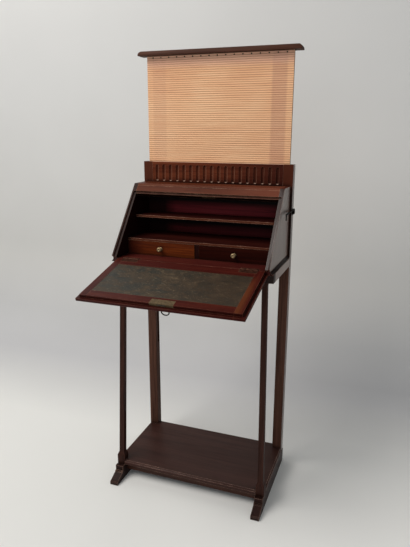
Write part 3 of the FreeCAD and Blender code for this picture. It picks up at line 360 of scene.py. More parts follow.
# %% Landmarks
FALL_DROOP = math.radians(14.1)
FALL_THICK_MM = 16.7
LIP_DEEP_MM = 8
CASE_SLOPE = math.radians(51.55)
side_low, side_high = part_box("case_side_right")
side_inner_mm = side_low.x / MM
side_outer_mm = side_high.x / MM
side_foot_mm = side_low.z / MM
case_top_mm = side_high.z / MM
post_outer_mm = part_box("rear_post_right")[1].x / MM
shelf_top_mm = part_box("upper_shelf")[1].z / MM
pin_low, pin_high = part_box("hinge_pins")
pin_middle = (pin_low + pin_high) / 2
fall_top_mm = (pin_middle.z * math.cos(FALL_DROOP) - pin_middle.y * math.sin(FALL_DROOP)) / MM
slope_top_mm = max(v.co.z * math.cos(CASE_SLOPE) - v.co.y * math.sin(CASE_SLOPE)
                   for v in nodes["case_side_right"].data.vertices) / MM
print("case sides", round(side_inner_mm, 1), "to", round(side_outer_mm, 1), "mm from the middle,",
      "shelf at", round(shelf_top_mm, 1), "and top at", round(case_top_mm, 1), "mm")

# %% [markdown]
# Some masks go by the way a face looks. The normal's part along an axis is 1 where a face looks along it and
# -1 where it looks the other way, so one number tells the sloped edges, the undersides and the flutes' left
# flanks. The undersides get painted shade; faces that look up, to the left and forward get painted
# highlights.

# %% Masks by the way a face looks
def normal_part(tree, axis):
    """The part of the normal that lies along an axis."""
    return add(tree, "SeparateXYZ", {"Vector": add(tree, "NewGeometry").outputs["Normal"]}).outputs[axis]


def facing(tree, axis, start, full, most=1.0):
    """Rises to most as the normal's part along an axis goes from start to full."""
    return add(tree, "MapRange", {"Value": normal_part(tree, axis), "From Min": start, "From Max": full,
                                  "To Max": most}).outputs["Result"]


def faces_outward(tree):
    """The faces that look to either side."""
    sideways = add(tree, "Math", {0: normal_part(tree, "X")}, operation="ABSOLUTE").outputs["Value"]
    return add(tree, "MapRange", {"Value": sideways, "From Min": 0.7, "From Max": 0.9}).outputs["Result"]


# The faces that don't look to either side; on the base ends they get painted shade.
def not_outward_shade(tree):
    return add(tree, "Math", {0: 0.8, 1: faces_outward(tree)}, operation="SUBTRACT",
               use_clamp=True).outputs["Value"]


def slopes_forward(tree):
    """The edges that the fall shuts on: they face forwards and up."""
    return both(tree, facing(tree, "Y", -0.3, -0.6), facing(tree, "Z", 0.3, 0.5, 0.85))


# Front faces, which on the shelves get a painted highlight.
def faces_front_highlight(tree):
    return facing(tree, "Y", -0.7, -0.95, 0.8)


# Faces that look left, such as the flutes' flanks, which get a painted highlight.
def faces_left_highlight(tree):
    return facing(tree, "X", -0.3, -0.8, 0.6)


# Faces that look up, such as the flutes' feet, which get a painted highlight.
def faces_up_highlight(tree):
    return facing(tree, "Z", 0.35, 0.8, 0.8)


def faces_down_shade(tree):
    """The lower edge of the rail above the fall, which gets painted shade."""
    return facing(tree, "Z", -0.2, -0.5, 0.95)

# %% [markdown]
# The outer faces of the case sides get a streaked grey painted reflection, and the film itself is thick only
# there. On the right side some of the film is left on the sloped edge. Inside, the sides are painted near
# black, as shade. The floor of the case keeps its film between them, and its coved ends are painted black, as
# shade.

# %% Masks for the case
STAIN_DEEP_MM = (1.5, 0.5)
FILM_DEEP_MM = (1.2, 0.7)
SHEEN_STREAK_MM = (260, 9)
COVE_MM = 3
RIGHTWARD_MM = (-20, 200)
RIGHT_HALF_MM = (0, 200)
# The painted grey reflection starts this far from the middle.
print("bloom on the case sides starts", round(side_outer_mm - STAIN_DEEP_MM[0], 1), "mm from the middle")


def outer_face(tree, face_mm, deep_mm):
    """The faces that lie this far from the middle: the mask starts, and is whole, this deep in them."""
    start, full = deep_mm
    return between(tree, off_middle(tree), face_mm - start, face_mm - full)


def painted_sheen(tree, face_mm):
    """A painted grey reflection on outer faces, streaked along the grain."""
    streaks = add(tree, "TexNoise", {
        "Vector": grain_place(tree, "z", *SHEEN_STREAK_MM), "Scale": 1.0, "Detail": 4.0})
    patchy = add(tree, "MapRange", {"Value": streaks.outputs["Fac"], "From Min": 0.38, "From Max": 0.62,
                                    "To Min": 0.1, "To Max": 0.5})
    return both(tree, outer_face(tree, face_mm, STAIN_DEEP_MM), patchy.outputs["Result"])


def side_painted_sheen(tree):
    return painted_sheen(tree, side_outer_mm)


def side_film(tree):
    """Whole on the outer faces, and about half on the right side's sloped edge, which is handled less."""
    right_edge = both(tree, between(tree, place_of(tree, "X"), *RIGHT_HALF_MM, 0.65), slopes_forward(tree))
    outer = outer_face(tree, side_outer_mm, FILM_DEEP_MM)
    return add(tree, "Math", {0: outer, 1: right_edge}, operation="MAXIMUM").outputs["Value"]


def inner_faces_shade(tree):
    """The inner faces of the case sides, which get painted shade."""
    start, full = STAIN_DEEP_MM
    return between(tree, off_middle(tree), side_inner_mm + start, side_inner_mm + full)


def cove_ends_shade(tree):
    """The floor's coved ends, which stand out past the case sides and get painted shade."""
    return between(tree, off_middle(tree), side_outer_mm - COVE_MM, side_outer_mm, 0.9)


def between_the_sides(tree):
    return between(tree, off_middle(tree), side_outer_mm, side_outer_mm - COVE_MM)


def toward_the_right(tree):
    return between(tree, place_of(tree, "X"), *RIGHTWARD_MM, 0.8)


def rebate_shade(tree):
    """The step, a fall's lip deep, below the sloped faces of the case, which gets painted shade."""
    depth = place_of(tree, "Z", tilt=-CASE_SLOPE)
    sunk = between(tree, depth, slope_top_mm - 2, slope_top_mm - LIP_DEEP_MM + 2)
    return both(tree, sunk, slopes_forward(tree))

# %% [markdown]
# The posts have the same painted grey reflection and the same film on their outer faces. Their tops were
# polished with the fluted board between them, and beside the case the right post gets painted shade.

# %% Masks for the posts
POST_HEAD_MM = 20
BASE_DEEP_MM = 10
print("posts are polished from", round(case_top_mm - POST_HEAD_MM), "mm above the floor")


def post_painted_sheen(tree):
    return painted_sheen(tree, post_outer_mm)


def post_film(tree):
    return outer_face(tree, post_outer_mm, FILM_DEEP_MM)


def above_the_case(tree):
    """The tops of the posts, which were polished with the fluted board."""
    return between(tree, place_of(tree, "Z"), case_top_mm - POST_HEAD_MM, case_top_mm, 0.8)


def right_post_shade(tree):
    """The right post where the case stands in front of it, which gets painted shade."""
    above_base = between(tree, place_of(tree, "Z"), side_foot_mm - BASE_DEEP_MM, side_foot_mm)
    return both(tree, toward_the_right(tree), above_base)

# %% [markdown]
# The back of the pigeonholes is a dark purplish red. Each bay gets a band of painted shade at its top, under
# the case top and under the upper shelf, the bays below the upper shelf are painted darker as shade, and the
# left corner is painted black all the way down, as the shadow of the left side. These bands are measured down
# from the top of the case and of the upper shelf.

# %% Masks for the back
TOP_SHADOW_MM = (74, 53)
SHELF_SHADOW_MM = (46, 30)
LEFT_SHADOW_MM = (-125, -165)
print("black bands of the back begin", round(case_top_mm - TOP_SHADOW_MM[0]), "and",
      round(shelf_top_mm - SHELF_SHADOW_MM[0]), "mm above the floor")


def shade_below_a_top(tree, top_mm, band_mm):
    """The band of painted shade that starts and is whole this far below a top."""
    start, full = band_mm
    return between(tree, place_of(tree, "Z"), top_mm - start, top_mm - full)


def under_top_shadow(tree):
    return shade_below_a_top(tree, case_top_mm, TOP_SHADOW_MM)


def in_lower_bays(tree, most=1.0):
    """All of the back below the upper shelf."""
    return between(tree, place_of(tree, "Z"), shelf_top_mm, shelf_top_mm - 1, most)


def lower_bays_shade(tree):
    return in_lower_bays(tree, 0.6)


def under_shelf_shadow(tree):
    return both(tree, shade_below_a_top(tree, shelf_top_mm, SHELF_SHADOW_MM), in_lower_bays(tree))


def left_corner_shadow(tree):
    return between(tree, place_of(tree, "X"), *LEFT_SHADOW_MM, 0.93)

# %% [markdown]
# The fall's top is polished most at its left, and its sunk lip is darker. A strip of its border, right of the
# leather and towards the front, has faded to orange. The left drawer front is faded too, and its left end is
# painted dark, as the shadow of the case side.

# %% Masks for the fall and the left drawer
LEFTWARD_MM = (200, -200)
FADED_STRIP_MM = (217, 205)
FADED_RIGHT_MM = (0, 100)
FADED_FRONT_MM = (-50, -120)
DRAWER_SHADOW_MM = (-165, -192)


def toward_the_left(tree):
    return between(tree, place_of(tree, "X"), *LEFTWARD_MM)


def on_the_lip(tree):
    """The sunk lip round the fall, but not the fall's outer face."""
    depth = place_of(tree, "Z", tilt=-FALL_DROOP)
    outer_mm = fall_top_mm - FALL_THICK_MM
    sunk = between(tree, depth, fall_top_mm - 1, fall_top_mm - LIP_DEEP_MM, 0.7)
    return both(tree, sunk, between(tree, depth, outer_mm + 0.5, outer_mm + 2))


def beside_the_leather(tree):
    """A faded strip on top of the fall, right of the leather and towards the front."""
    strip = between(tree, off_middle(tree), *FADED_STRIP_MM, 0.7)
    on_top = between(tree, place_of(tree, "Z", tilt=-FALL_DROOP), fall_top_mm - 2, fall_top_mm - 1)
    right = between(tree, place_of(tree, "X"), *FADED_RIGHT_MM)
    front = between(tree, place_of(tree, "Y"), *FADED_FRONT_MM)
    return both(tree, both(tree, strip, on_top), both(tree, right, front))


def left_end_shadow(tree):
    return between(tree, place_of(tree, "X"), *DRAWER_SHADOW_MM, 0.5)

# %% [markdown]
# With the masks made, a table gives each wood its stains and its painted light and shade, from the lowest
# layer to the top one, and a second table says where its film is left. The clamps of the fall have one stain
# more, the faded strip.

# %% Stains, painted light and shade, and film
STAINS_AND_PAINTED_LIGHT = {
    # On the case: paler towards the right as a painted sheen, and painted shade in the rebate and on the
    # rail's lower edge.
    "case": [(toward_the_right, "#6C3A2A"), (rebate_shade, "#170705"), (faces_down_shade, "#0C0303")],
    # On the posts: painted shade beside the case, redder tops, and a painted grey reflection.
    "post": [(right_post_shade, "#1E0B07"), (above_the_case, "#4E2416"), (post_painted_sheen, "#5E4A40")],
    # The base ends are painted dark, as shade, on all but their outer faces.
    "base_end": [(not_outward_shade, "#150806")],
    # The coved ends of the case floor are painted black, as shade.
    "case_floor": [(cove_ends_shade, "#0E0504")],
    # The left end of the faded drawer is painted dark, as the case side's shadow.
    "faded_drawer": [(left_end_shadow, "#2C0B0A")],
    # On the case sides: a painted grey reflection outside, darker sloped edges, and painted shade inside.
    "case_side": [(side_painted_sheen, "#6E5A48"), (slopes_forward, "#21120F"), (inner_faces_shade, "#1C0706")],
    # The back gets painted shade below the upper shelf, under both tops and in its left corner.
    "back": [(lower_bays_shade, "#1A0505"), (under_shelf_shadow, "#0A0202"), (under_top_shadow, "#0A0202"),
             (left_corner_shadow, "#0E0303")],
    # The shelves' front edges are painted paler, as the light they catch.
    "shelf": [(faces_front_highlight, "#5A3020")],
    "fall": [(on_the_lip, "#340C09")],
    # On the fluted board: painted highlights on the flutes' left flanks and feet, and painted shade towards
    # the right.
    "frieze": [(faces_left_highlight, "#A87C66"), (toward_the_right, "#34120C"), (faces_up_highlight, "#E0C0AC")],
}
CLAMP_STAINS = [(beside_the_leather, "#60331C")] + STAINS_AND_PAINTED_LIGHT["fall"]
FILMED = {
    "post": post_film, "case_side": side_film, "base_end": faces_outward,
    "case_floor": between_the_sides, "fall": toward_the_left,
}
print("stains_and_light", sum(len(layers) for layers in STAINS_AND_PAINTED_LIGHT.values()), "on", len(STAINS_AND_PAINTED_LIGHT), "woods")

# %% [markdown]
# Now each kind of board gets its wood. A seed moves it to its own part of the
# noise, so that no two kinds share a grain. The clamps run from front to back,
# across the other parts of the fall, so they are a kind of their own.

# %% Every board in its wood
SEED_STEP = 1.7
CLAMP_SEED = 5.0
CLAMPS = ["flap_clamp_left", "flap_clamp_right"]
finished = []


def finish_nodes(names, material):
    """Gives solids of the joinery one material."""
    for name in names:
        mesh = nodes[name].data
        mesh.materials.clear()
        mesh.materials.append(material)
        finished.append(name)


for count, ((brown, grain), names) in enumerate(BOARDS.items()):
    tilt = -FALL_DROOP if brown == "fall" else 0.0
    wood = mahogany(f"mahogany_{brown}_{grain}", grain, seed=SEED_STEP * count, tilt=tilt,
                    stains_and_light=STAINS_AND_PAINTED_LIGHT.get(brown, ()), filmed=FILMED.get(brown), **BROWNS[brown])
    finish_nodes(names, wood)
finish_nodes(CLAMPS, mahogany("mahogany_fall_clamps", "y", tilt=-FALL_DROOP, seed=CLAMP_SEED,
                              stains_and_light=CLAMP_STAINS, filmed=toward_the_left, **BROWNS["fall"]))
print("polished boards", len(finished))

# %% [markdown]
# The drawer boxes and the frame behind the cloth are plain wood that was never
# polished: planed, a little dusty, and quite matt. Such linings are often a
# pale straight-grained wood, and here they are kept a modest brown.

# %% Plain wood
PLANED_STREAK_MM = (180, 4)
PLANED_ROUGHNESS = 0.62


def plain_wood(name, grain, dark, middle, pale):
    """Planed wood with no polish."""
    made, tree, shader = new_material(name)
    streaks = add(tree, "TexNoise", {
        "Vector": grain_place(tree, grain, *PLANED_STREAK_MM), "Scale": 1.0, "Detail": 5.0,
        "Roughness": 0.6})
    wood = ramp(tree, streaks.outputs["Fac"], [(0.3, dark), (0.5, middle), (0.7, pale)])
    tree.links.new(wood, shader.inputs["Base Color"])
    bump = add(tree, "Bump", {"Strength": 0.35, "Distance": 0.0003, "Height": streaks.outputs["Fac"]})
    tree.links.new(bump.outputs["Normal"], shader.inputs["Normal"])
    shader.inputs["Roughness"].default_value = PLANED_ROUGHNESS
    return made


PLAIN = {
    ("lining", "y", "#5A3A22", "#76502F", "#8D643D"): [
        "drawer_sides_left", "drawer_sides_right"],
    ("lining_across", "x", "#5A3A22", "#76502F", "#8D643D"): [
        "drawer_back_left", "drawer_back_right", "drawer_bottom_left", "drawer_bottom_right"],
    ("screen_frame_up", "z", "#6B4A2C", "#8C653F", "#A37C50"): [
        "screen_stile_left", "screen_stile_right"],
    ("screen_frame_across", "x", "#6B4A2C", "#8C653F", "#A37C50"): [
        "screen_top_rail", "screen_bottom_rail"],
}
for (name, grain, dark, middle, pale), boards in PLAIN.items():
    finish_nodes(boards, plain_wood(name, grain, dark, middle, pale))
print("with the plain wood", len(finished))

# %% [markdown]
# The fittings are old brass: cast or rolled, once bright, now dulled to a grey
# yellow with browner metal in the hollows and paler metal where it is rubbed.
# The catch and the key are iron, blackened, and rough from rust.

# %% Metals
METAL_RUB_MM = 0.5


def old_metal(name, dull, rubbed, rough, grit_mm):
    """A tarnished metal, paler on its arrises and patchy over its faces."""
    made, tree, shader = new_material(name)
    patch = add(tree, "TexNoise", {"Vector": place_in_desk(tree), "Scale": 1000 / grit_mm, "Detail": 5.0,
                                   "Roughness": 0.65})
    tarnish = ramp(tree, patch.outputs["Fac"], [(0.35, dull), (0.7, rubbed)])
    shown = layered(tree, tarnish, [(edge_wear_and_glint(tree, METAL_RUB_MM, 0.5), rubbed)])
    tree.links.new(shown, shader.inputs["Base Color"])
    uneven = add(tree, "MapRange", {
        "Value": patch.outputs["Fac"], "From Min": 0.3, "From Max": 0.7,
        "To Min": rough - 0.1, "To Max": rough + 0.12})
    tree.links.new(uneven.outputs["Result"], shader.inputs["Roughness"])
    bump = add(tree, "Bump", {"Strength": 0.2, "Distance": 0.0001, "Height": patch.outputs["Fac"]})
    tree.links.new(bump.outputs["Normal"], shader.inputs["Normal"])
    shader.inputs["Metallic"].default_value = 1.0
    return made


METALS = {
    ("dull_brass", "#5C4F3C", "#86765A", 0.5, 6.0): [
        "lock_face_plate", "escutcheon", "lock_strike_plate"],
    ("brown_brass", "#3A2019", "#5E4034", 0.6, 6.0): [
        "hinge_floor_leaves", "hinge_flap_leaves", "hinge_pins", "hinge_floor_screws",
        "hinge_flap_screws"],
    ("knob_brass", "#8A7658", "#B4A07C", 0.55, 4.0): ["drawer_knob_left", "drawer_knob_right"],
    ("lock_steel", "#4A4640", "#77726A", 0.45, 5.0): ["lock_case", "lock_bolt"],
    ("catch_iron", "#070605", "#1C1714", 0.7, 3.0): ["catch_lever", "catch_rose", "key", "screen_tacks"],
}
for (name, dull, rubbed, rough, grit_mm), fittings in METALS.items():
    finish_nodes(fittings, old_metal(name, dull, rubbed, rough, grit_mm))
print("with the metals", len(finished))

# %% [markdown]
# No real arris is a knife edge. After sawing, a joiner takes the sharpness off
# with a few strokes of glasspaper, and years of dusting round it further. A
# bevel of about half a millimetre catches the light along every board. Corners
# that the ready-made solids have twice are joined first, or they would not round.

# %% Eased arrises
ARRIS_MM = 0.6
SMALL_ARRIS_MM = 0.2
JOIN_MM = 0.01
SHARP_ANGLE = math.radians(40)
EASED = [name for names in BOARDS.values() for name in names] + CLAMPS
EASED_FITTINGS = ["lock_face_plate", "hinge_floor_leaves", "hinge_flap_leaves", "catch_lever"]


def ease(names, arris_mm):
    """Joins the solids' split corners and rounds their sharp arrises."""
    for name in names:
        weld = nodes[name].modifiers.new("join", "WELD")
        weld.merge_threshold = JOIN_MM * MM
        round_over = nodes[name].modifiers.new("arris", "BEVEL")
        round_over.width = arris_mm * MM
        round_over.segments = 2
        round_over.limit_method = "ANGLE"
        round_over.angle_limit = SHARP_ANGLE
        round_over.use_clamp_overlap = True
        round_over.harden_normals = True


ease(EASED, ARRIS_MM)
ease(EASED_FITTINGS, SMALL_ARRIS_MM)
print("eased", len(EASED), "boards and", len(EASED_FITTINGS), "fittings")

# %% [markdown]
# Leather and cloth are not cut from solids. Each is one sheet of small faces,
# a grid of columns and rows, with a function that says where every point lies.
# A sheet rides on the body that it is fixed to, and the solid that it stands in for is hidden.

# %% Mesh helpers
def grid_piece(name, columns, rows, place, body, material, depth=None):
    """A sheet of faces: place(i, j) gives the point of each column and row, depth(j) how deep each row lies
    in a gap, which the material paints as shade.
    """
    points = [place(i, j) for j in range(rows + 1) for i in range(columns + 1)]
    wide = columns + 1
    faces = [(j * wide + i, j * wide + i + 1, (j + 1) * wide + i + 1, (j + 1) * wide + i)
             for j in range(rows) for i in range(columns)]
    mesh = bpy.data.meshes.new(name)
    mesh.from_pydata(points, [], faces)
    mesh.polygons.foreach_set("use_smooth", [True] * len(faces))
    mesh.materials.append(material)
    if depth:
        hollow = mesh.attributes.new("hollow", "FLOAT", "POINT")
        hollow.data.foreach_set("value", [depth(j) for j in range(rows + 1) for i in range(columns + 1)])
    piece = bpy.data.objects.new(name, mesh)
    bpy.context.scene.collection.objects.link(piece)
    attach(piece, body)
    print(name, len(points), "points")
    return piece

# %% [markdown]
# The writing surface is a skiver, the thin grain side of a split sheepskin,
# pasted flat into the fall. It was dyed a dark green that has gone brown and
# black, with pale scuffs where pens and books were dragged over it. It is a
# fine grid of faces with slight hollows, so that it lies like skin on wood.

# %% Worn leather
DRAG_MM = (42, 12, 12)
CLOUDS_PER_M = 22.0
SCUFF_WIDE_MM = 1.6
SCUFFS = ((0.35, 45, 0.665), (1.35, 30, 0.68), (-0.6, 60, 0.68))
HANDLED_MM = (-60, 150)
PEBBLE_MM = 1.1


def worn_leather():
    """Dark green skiver, browned and scuffed. Scuffs have a turn, a length in mm, and a cut that is higher
    the rarer they are."""
    made, tree, shader = new_material("worn_skiver")
    place = place_in_desk(tree)
    clouds = add(tree, "TexNoise", {"Vector": place, "Scale": CLOUDS_PER_M, "Detail": 8.0,
                                    "Roughness": 0.68})
    drag = add(tree, "Mapping", {"Vector": place, "Scale": per_mm(*DRAG_MM)})
    rubs = add(tree, "TexNoise", {"Vector": drag.outputs["Vector"], "Scale": 1.0, "Detail": 5.0,
                                  "Roughness": 0.7})
    tone = add(tree, "Mix", {"Factor": 0.4, "A": clouds.outputs["Fac"], "B": rubs.outputs["Fac"]})
    skin = ramp(tree, tone.outputs["Result"], [
        (0.36, "#12120E"), (0.45, "#292821"), (0.52, "#362C20"), (0.60, "#44392A"), (0.68, "#5C4C38")])
    layers = []
    for turn, long_mm, cut in SCUFFS:
        turned = add(tree, "Mapping", {"Vector": place, "Rotation": (0, 0, turn)})
        drawn = add(tree, "Mapping", {"Vector": turned.outputs["Vector"],
                                      "Scale": per_mm(long_mm, SCUFF_WIDE_MM, SCUFF_WIDE_MM)})
        lines = add(tree, "TexNoise", {"Vector": drawn.outputs["Vector"], "Scale": 1.0, "Detail": 2.0})
        scuff = add(tree, "MapRange", {
            "Value": lines.outputs["Fac"], "From Min": cut, "From Max": cut + 0.06,
            "To Min": 0.0, "To Max": 0.75})
        layers.append((scuff.outputs["Result"], "#8A7A5E"))
    layers.append((between(tree, place_of(tree, "X"), *HANDLED_MM, 0.5), "#2A1C10"))
    tree.links.new(layered(tree, skin, layers), shader.inputs["Base Color"])
    pebble = add(tree, "TexVoronoi", {"Vector": place, "Scale": 1000 / PEBBLE_MM})
    bump = add(tree, "Bump", {"Strength": 0.35, "Distance": 0.0002, "Height": pebble.outputs["Distance"]})
    tree.links.new(bump.outputs["Normal"], shader.inputs["Normal"])
    shine = add(tree, "MapRange", {
        "Value": tone.outputs["Result"], "From Min": 0.3, "From Max": 0.7, "To Min": 0.42, "To Max": 0.62})
    tree.links.new(shine.outputs["Result"], shader.inputs["Roughness"])
    shader.inputs["Specular IOR Level"].default_value = 0.3
    return made

# %% [markdown]
# The sheet is laid out from its back left corner, along the fall and down its
# slope. Its top sinks about a tenth of a millimetre, with hollows as deep.

# %% The leather on the fall
SKIN_STEP = 4 * MM
SKIN_THICK = 1.0 * MM
SKIN_SUNK = 0.12 * MM
HOLLOW_DEEP_MM = 0.1
HOLLOWS_PER_M = 30
skin_low, skin_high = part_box("writing_leather")
skin_corner = Vector((skin_low.x, skin_high.y, skin_high.z))
skin_slope = Vector((0, -math.cos(FALL_DROOP), -math.sin(FALL_DROOP)))
skin_up = Vector((0, -math.sin(FALL_DROOP), math.cos(FALL_DROOP)))
skin_wide = skin_high.x - skin_low.x
skin_long = (skin_high.y - skin_low.y - SKIN_THICK * math.sin(FALL_DROOP)) / math.cos(FALL_DROOP)
skin_columns = round(skin_wide / SKIN_STEP)
skin_rows = round(skin_long / SKIN_STEP)


def skin_point(i, j):
    """A point on top of the leather, with its hollow."""
    along = skin_wide * i / skin_columns
    out = skin_long * j / skin_rows
    flat = skin_corner + Vector((along, 0, 0)) + skin_slope * out
    hollow = noise.noise(flat * HOLLOWS_PER_M) * HOLLOW_DEEP_MM * MM
    return flat + skin_up * (hollow - SKIN_SUNK)


skiver = grid_piece("writing_skiver", skin_columns, skin_rows, skin_point, "fall",
                    worn_leather())
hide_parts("writing_leather")
print("leather", round(skin_wide / MM), "by", round(skin_long / MM), "mm")

# %% [markdown]
# The screen is covered with a ribbed cloth, a silk or cotton rep: thin warp threads pack tightly over thick
# cords that run from side to side. Each cord stands up as a rounded rib of about six millimetres with a
# narrow gap below it, painted dark as shade. Where the stiles stand behind the cloth it is painted darker and
# pinker, as their shade, and under the cap it is painted pinker, as the cap's shade. The ribs are in the
# mesh, with the small waves of a hand loom, and the back shows them too.

# %% Faded cloth
CORD_MM = (120, 120, 2.6)
FADE_PER_M = 5.0
THREAD_MM = (0.9, 0.9, 30)
STILE_SHADE_MM = (165, 208)
BAND_BLUR_MM = 3
CAP_SHADE_MM = (40, 22)
cloth_low, cloth_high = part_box("screen_cloth")
cloth_top_mm = cloth_high.z / MM
print("cloth from", round(cloth_low.z / MM, 1), "to", round(cloth_top_mm, 1), "mm above the floor")


def stile_shade_band(tree):
    """1 where the stiles lie behind the cloth and cast the painted shade, and 0 elsewhere, with blurred
    edges.
    """
    inner_mm, outer_mm = STILE_SHADE_MM
    inner = between(tree, off_middle(tree), inner_mm - BAND_BLUR_MM, inner_mm + BAND_BLUR_MM)
    outer = between(tree, off_middle(tree), outer_mm + BAND_BLUR_MM, outer_mm - BAND_BLUR_MM)
    return both(tree, inner, outer)


def faded_rep():
    """Peach cloth, with painted shade in the gaps of its ribs, a pinker painted shade where the stiles lie
    behind it, and a pinker painted shade under the cap.
    """
    made, tree, shader = new_material("faded_rep")
    place = place_in_desk(tree)
    stretch = add(tree, "Mapping", {"Vector": place, "Scale": per_mm(*CORD_MM)})
    cords = add(tree, "TexNoise", {"Vector": stretch.outputs["Vector"], "Scale": 1.0, "Detail": 4.0,
                                   "Roughness": 0.6})
    fade = add(tree, "TexNoise", {"Vector": place, "Scale": FADE_PER_M, "Detail": 3.0})
    tone = add(tree, "Mix", {"Factor": 0.5, "A": cords.outputs["Fac"], "B": fade.outputs["Fac"]})
    dye = ramp(tree, tone.outputs["Result"], [(0.3, "#DBA277"), (0.5, "#EAB78B"), (0.7, "#F4CBA0")])
    # The stiles' painted shade is stronger on the right.
    shade_stronger_right = add(tree, "MapRange", {"Value": place_of(tree, "X"), "From Min": -0.1,
                                            "From Max": 0.1, "To Min": 0.16, "To Max": 0.4})
    # Below the cap the cloth is painted pinker, as the cap's shade.
    shade_start, shade_full = CAP_SHADE_MM
    under_cap = between(tree, place_of(tree, "Z"), cloth_top_mm - shade_start, cloth_top_mm - shade_full,
                        0.5)
    # The gaps between the ribs are painted darker, as shade.
    gap_shade = add(tree, "Attribute", attribute_name="hollow")
    layers = [(both(tree, stile_shade_band(tree), shade_stronger_right.outputs["Result"]), "#B07A66"),
              (under_cap, "#E8B6A2"), (both(tree, gap_shade.outputs["Fac"], 0.75), "#8A5238")]
    tree.links.new(layered(tree, dye, layers), shader.inputs["Base Color"])
    weave = add(tree, "Mapping", {"Vector": place, "Scale": per_mm(*THREAD_MM)})
    threads = add(tree, "TexNoise", {"Vector": weave.outputs["Vector"], "Scale": 1.0, "Detail": 2.0})
    bump = add(tree, "Bump", {"Strength": 0.4, "Distance": 0.0003, "Height": threads.outputs["Fac"]})
    tree.links.new(bump.outputs["Normal"], shader.inputs["Normal"])
    shader.inputs["Roughness"].default_value = 0.75
    shader.inputs["Sheen Weight"].default_value = 0.15
    shader.inputs["Sheen Roughness"].default_value = 0.5
    return made

# %% [markdown]
# Each rib is six rows of faces: a sine, made squarer by a power below 1, lifts
# its middle and drops its edges into the gap. A slow noise makes the ribs wave,
# but less and less in the last sixth towards the top and the bottom, where the
# cloth is held. A second noise makes them thicker here and thinner there.

# %% Ribbed cloth
RIB_PITCH_MM = 6.2
RIB_STEPS = 6
RIB_HIGH = 1.3 * MM
RIB_SQUARE = 0.6
GAP_SHARP = 4.5
CREST_PROUD = 0.3 * MM
WAVE_HIGH_MM = 1.1
WAVE_PER_M = 9
WAVE_PER_RIB = 0.31
THICK_PER_M = 25
THICK_PER_RIB = 3.7
HELD_PARTS = 6
cloth_wide = cloth_high.x - cloth_low.x
cloth_tall = cloth_high.z - cloth_low.z
cloth_columns = 56
cloth_ribs = round(cloth_tall / (RIB_PITCH_MM * MM))
cloth_rows = cloth_ribs * RIB_STEPS


def rib_round(share):
    """How far a rib stands out, from the gap at 0 round to the gap at 1."""
    return math.sin(math.pi * share) ** RIB_SQUARE


def rib_gap_shade(j):
    """1 in the gap between two ribs, falling to 0 on their rounds: how much painted shade each row gets."""
    share = (j % RIB_STEPS) / RIB_STEPS
    return max(0.0, 1 - GAP_SHARP * min(share, 1 - share))


def cloth_point(i, j):
    """A point on the front of the cloth: round ribs with narrow gaps and small waves."""
    rib, step = divmod(j, RIB_STEPS)
    x = cloth_low.x + cloth_wide * i / cloth_columns
    z = cloth_low.z + cloth_tall * j / cloth_rows
    wave = noise.noise(Vector((x * WAVE_PER_M, rib * WAVE_PER_RIB, 2.0))) * WAVE_HIGH_MM * MM
    free = min(1.0, HELD_PARTS * j / cloth_rows, HELD_PARTS * (1 - j / cloth_rows))
    thick = 0.8 + 0.2 * noise.noise(Vector((x * THICK_PER_M, rib * THICK_PER_RIB, 5.0)))
    y = cloth_low.y - CREST_PROUD + RIB_HIGH * (1 - rib_round(step / RIB_STEPS) * thick)
    return Vector((x, y, z + wave * free))


cloth = grid_piece("screen_rep", cloth_columns, cloth_rows, cloth_point, "screen",
                   faded_rep(), rib_gap_shade)
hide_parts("screen_cloth")
print("cloth ribs", cloth_ribs, "size", round(cloth_wide / MM), "by", round(cloth_tall / MM), "mm")

# %% [markdown]
# The desk stands on a pale floor in front of a pale wall, as in a studio. The
# floor turns up into the wall in one smooth sweep, so no line shows behind it.
# Its paint is darkest low on the wall and palest on the floor at the right, as painted shade and painted
# light.

# %% Studio paint
LIT_FLOOR_MM = (800, 400)
LIT_RIGHT_MM = (-100, 600)


def studio_paint():
    """Matt off-white, painted darker low on the wall and paler on the floor at the right as shade and light,
    with a faint unevenness, and not drawn when seen from behind or below.
    """
    made, tree, shader = new_material("studio_paint")
    clouds = add(tree, "TexNoise", {"Vector": place_in_desk(tree), "Scale": 1.5, "Detail": 3.0})
    back_and_up = add(tree, "Math", {0: place_of(tree, "Y"), 1: place_of(tree, "Z")},
                      operation="ADD").outputs["Value"]
    share = add(tree, "MapRange", {"Value": back_and_up, "From Min": 0.0, "From Max": 3.0})
    paint = ramp(tree, share.outputs["Result"], [
        (0.07, "#E4E5E3"), (0.235, "#BFC0C3"), (0.35, "#BEBFC0"), (0.47, "#CCCCCA"), (0.77, "#CDCECE")])
    on_floor = between(tree, back_and_up, *LIT_FLOOR_MM)
    # The right of the floor is painted paler, as light.
    lit_right = between(tree, place_of(tree, "X"), *LIT_RIGHT_MM, 0.8)
    uneven = add(tree, "MapRange", {"Value": clouds.outputs["Fac"], "From Min": 0.3, "From Max": 0.7,
                                    "To Max": 0.08})
    layers = [(both(tree, on_floor, lit_right), "#FAFAF8"), (uneven.outputs["Result"], "#FFFFFF")]
    tree.links.new(layered(tree, paint, layers), shader.inputs["Base Color"])
    seen = add(tree, "LightPath").outputs["Is Camera Ray"]
    from_behind = both(tree, seen, add(tree, "NewGeometry").outputs["Backfacing"])
    drawn = add(tree, "Math", {0: 1.0, 1: from_behind}, operation="SUBTRACT")
    tree.links.new(drawn.outputs["Value"], shader.inputs["Alpha"])
    shader.inputs["Roughness"].default_value = 0.9
    shader.inputs["Specular IOR Level"].default_value = 0.2
    return made

# %% [markdown]
# Floor and wall are one strip of faces, drawn as a line from the front of the
# floor, through a quarter circle, to the top of the wall, and then made wide.

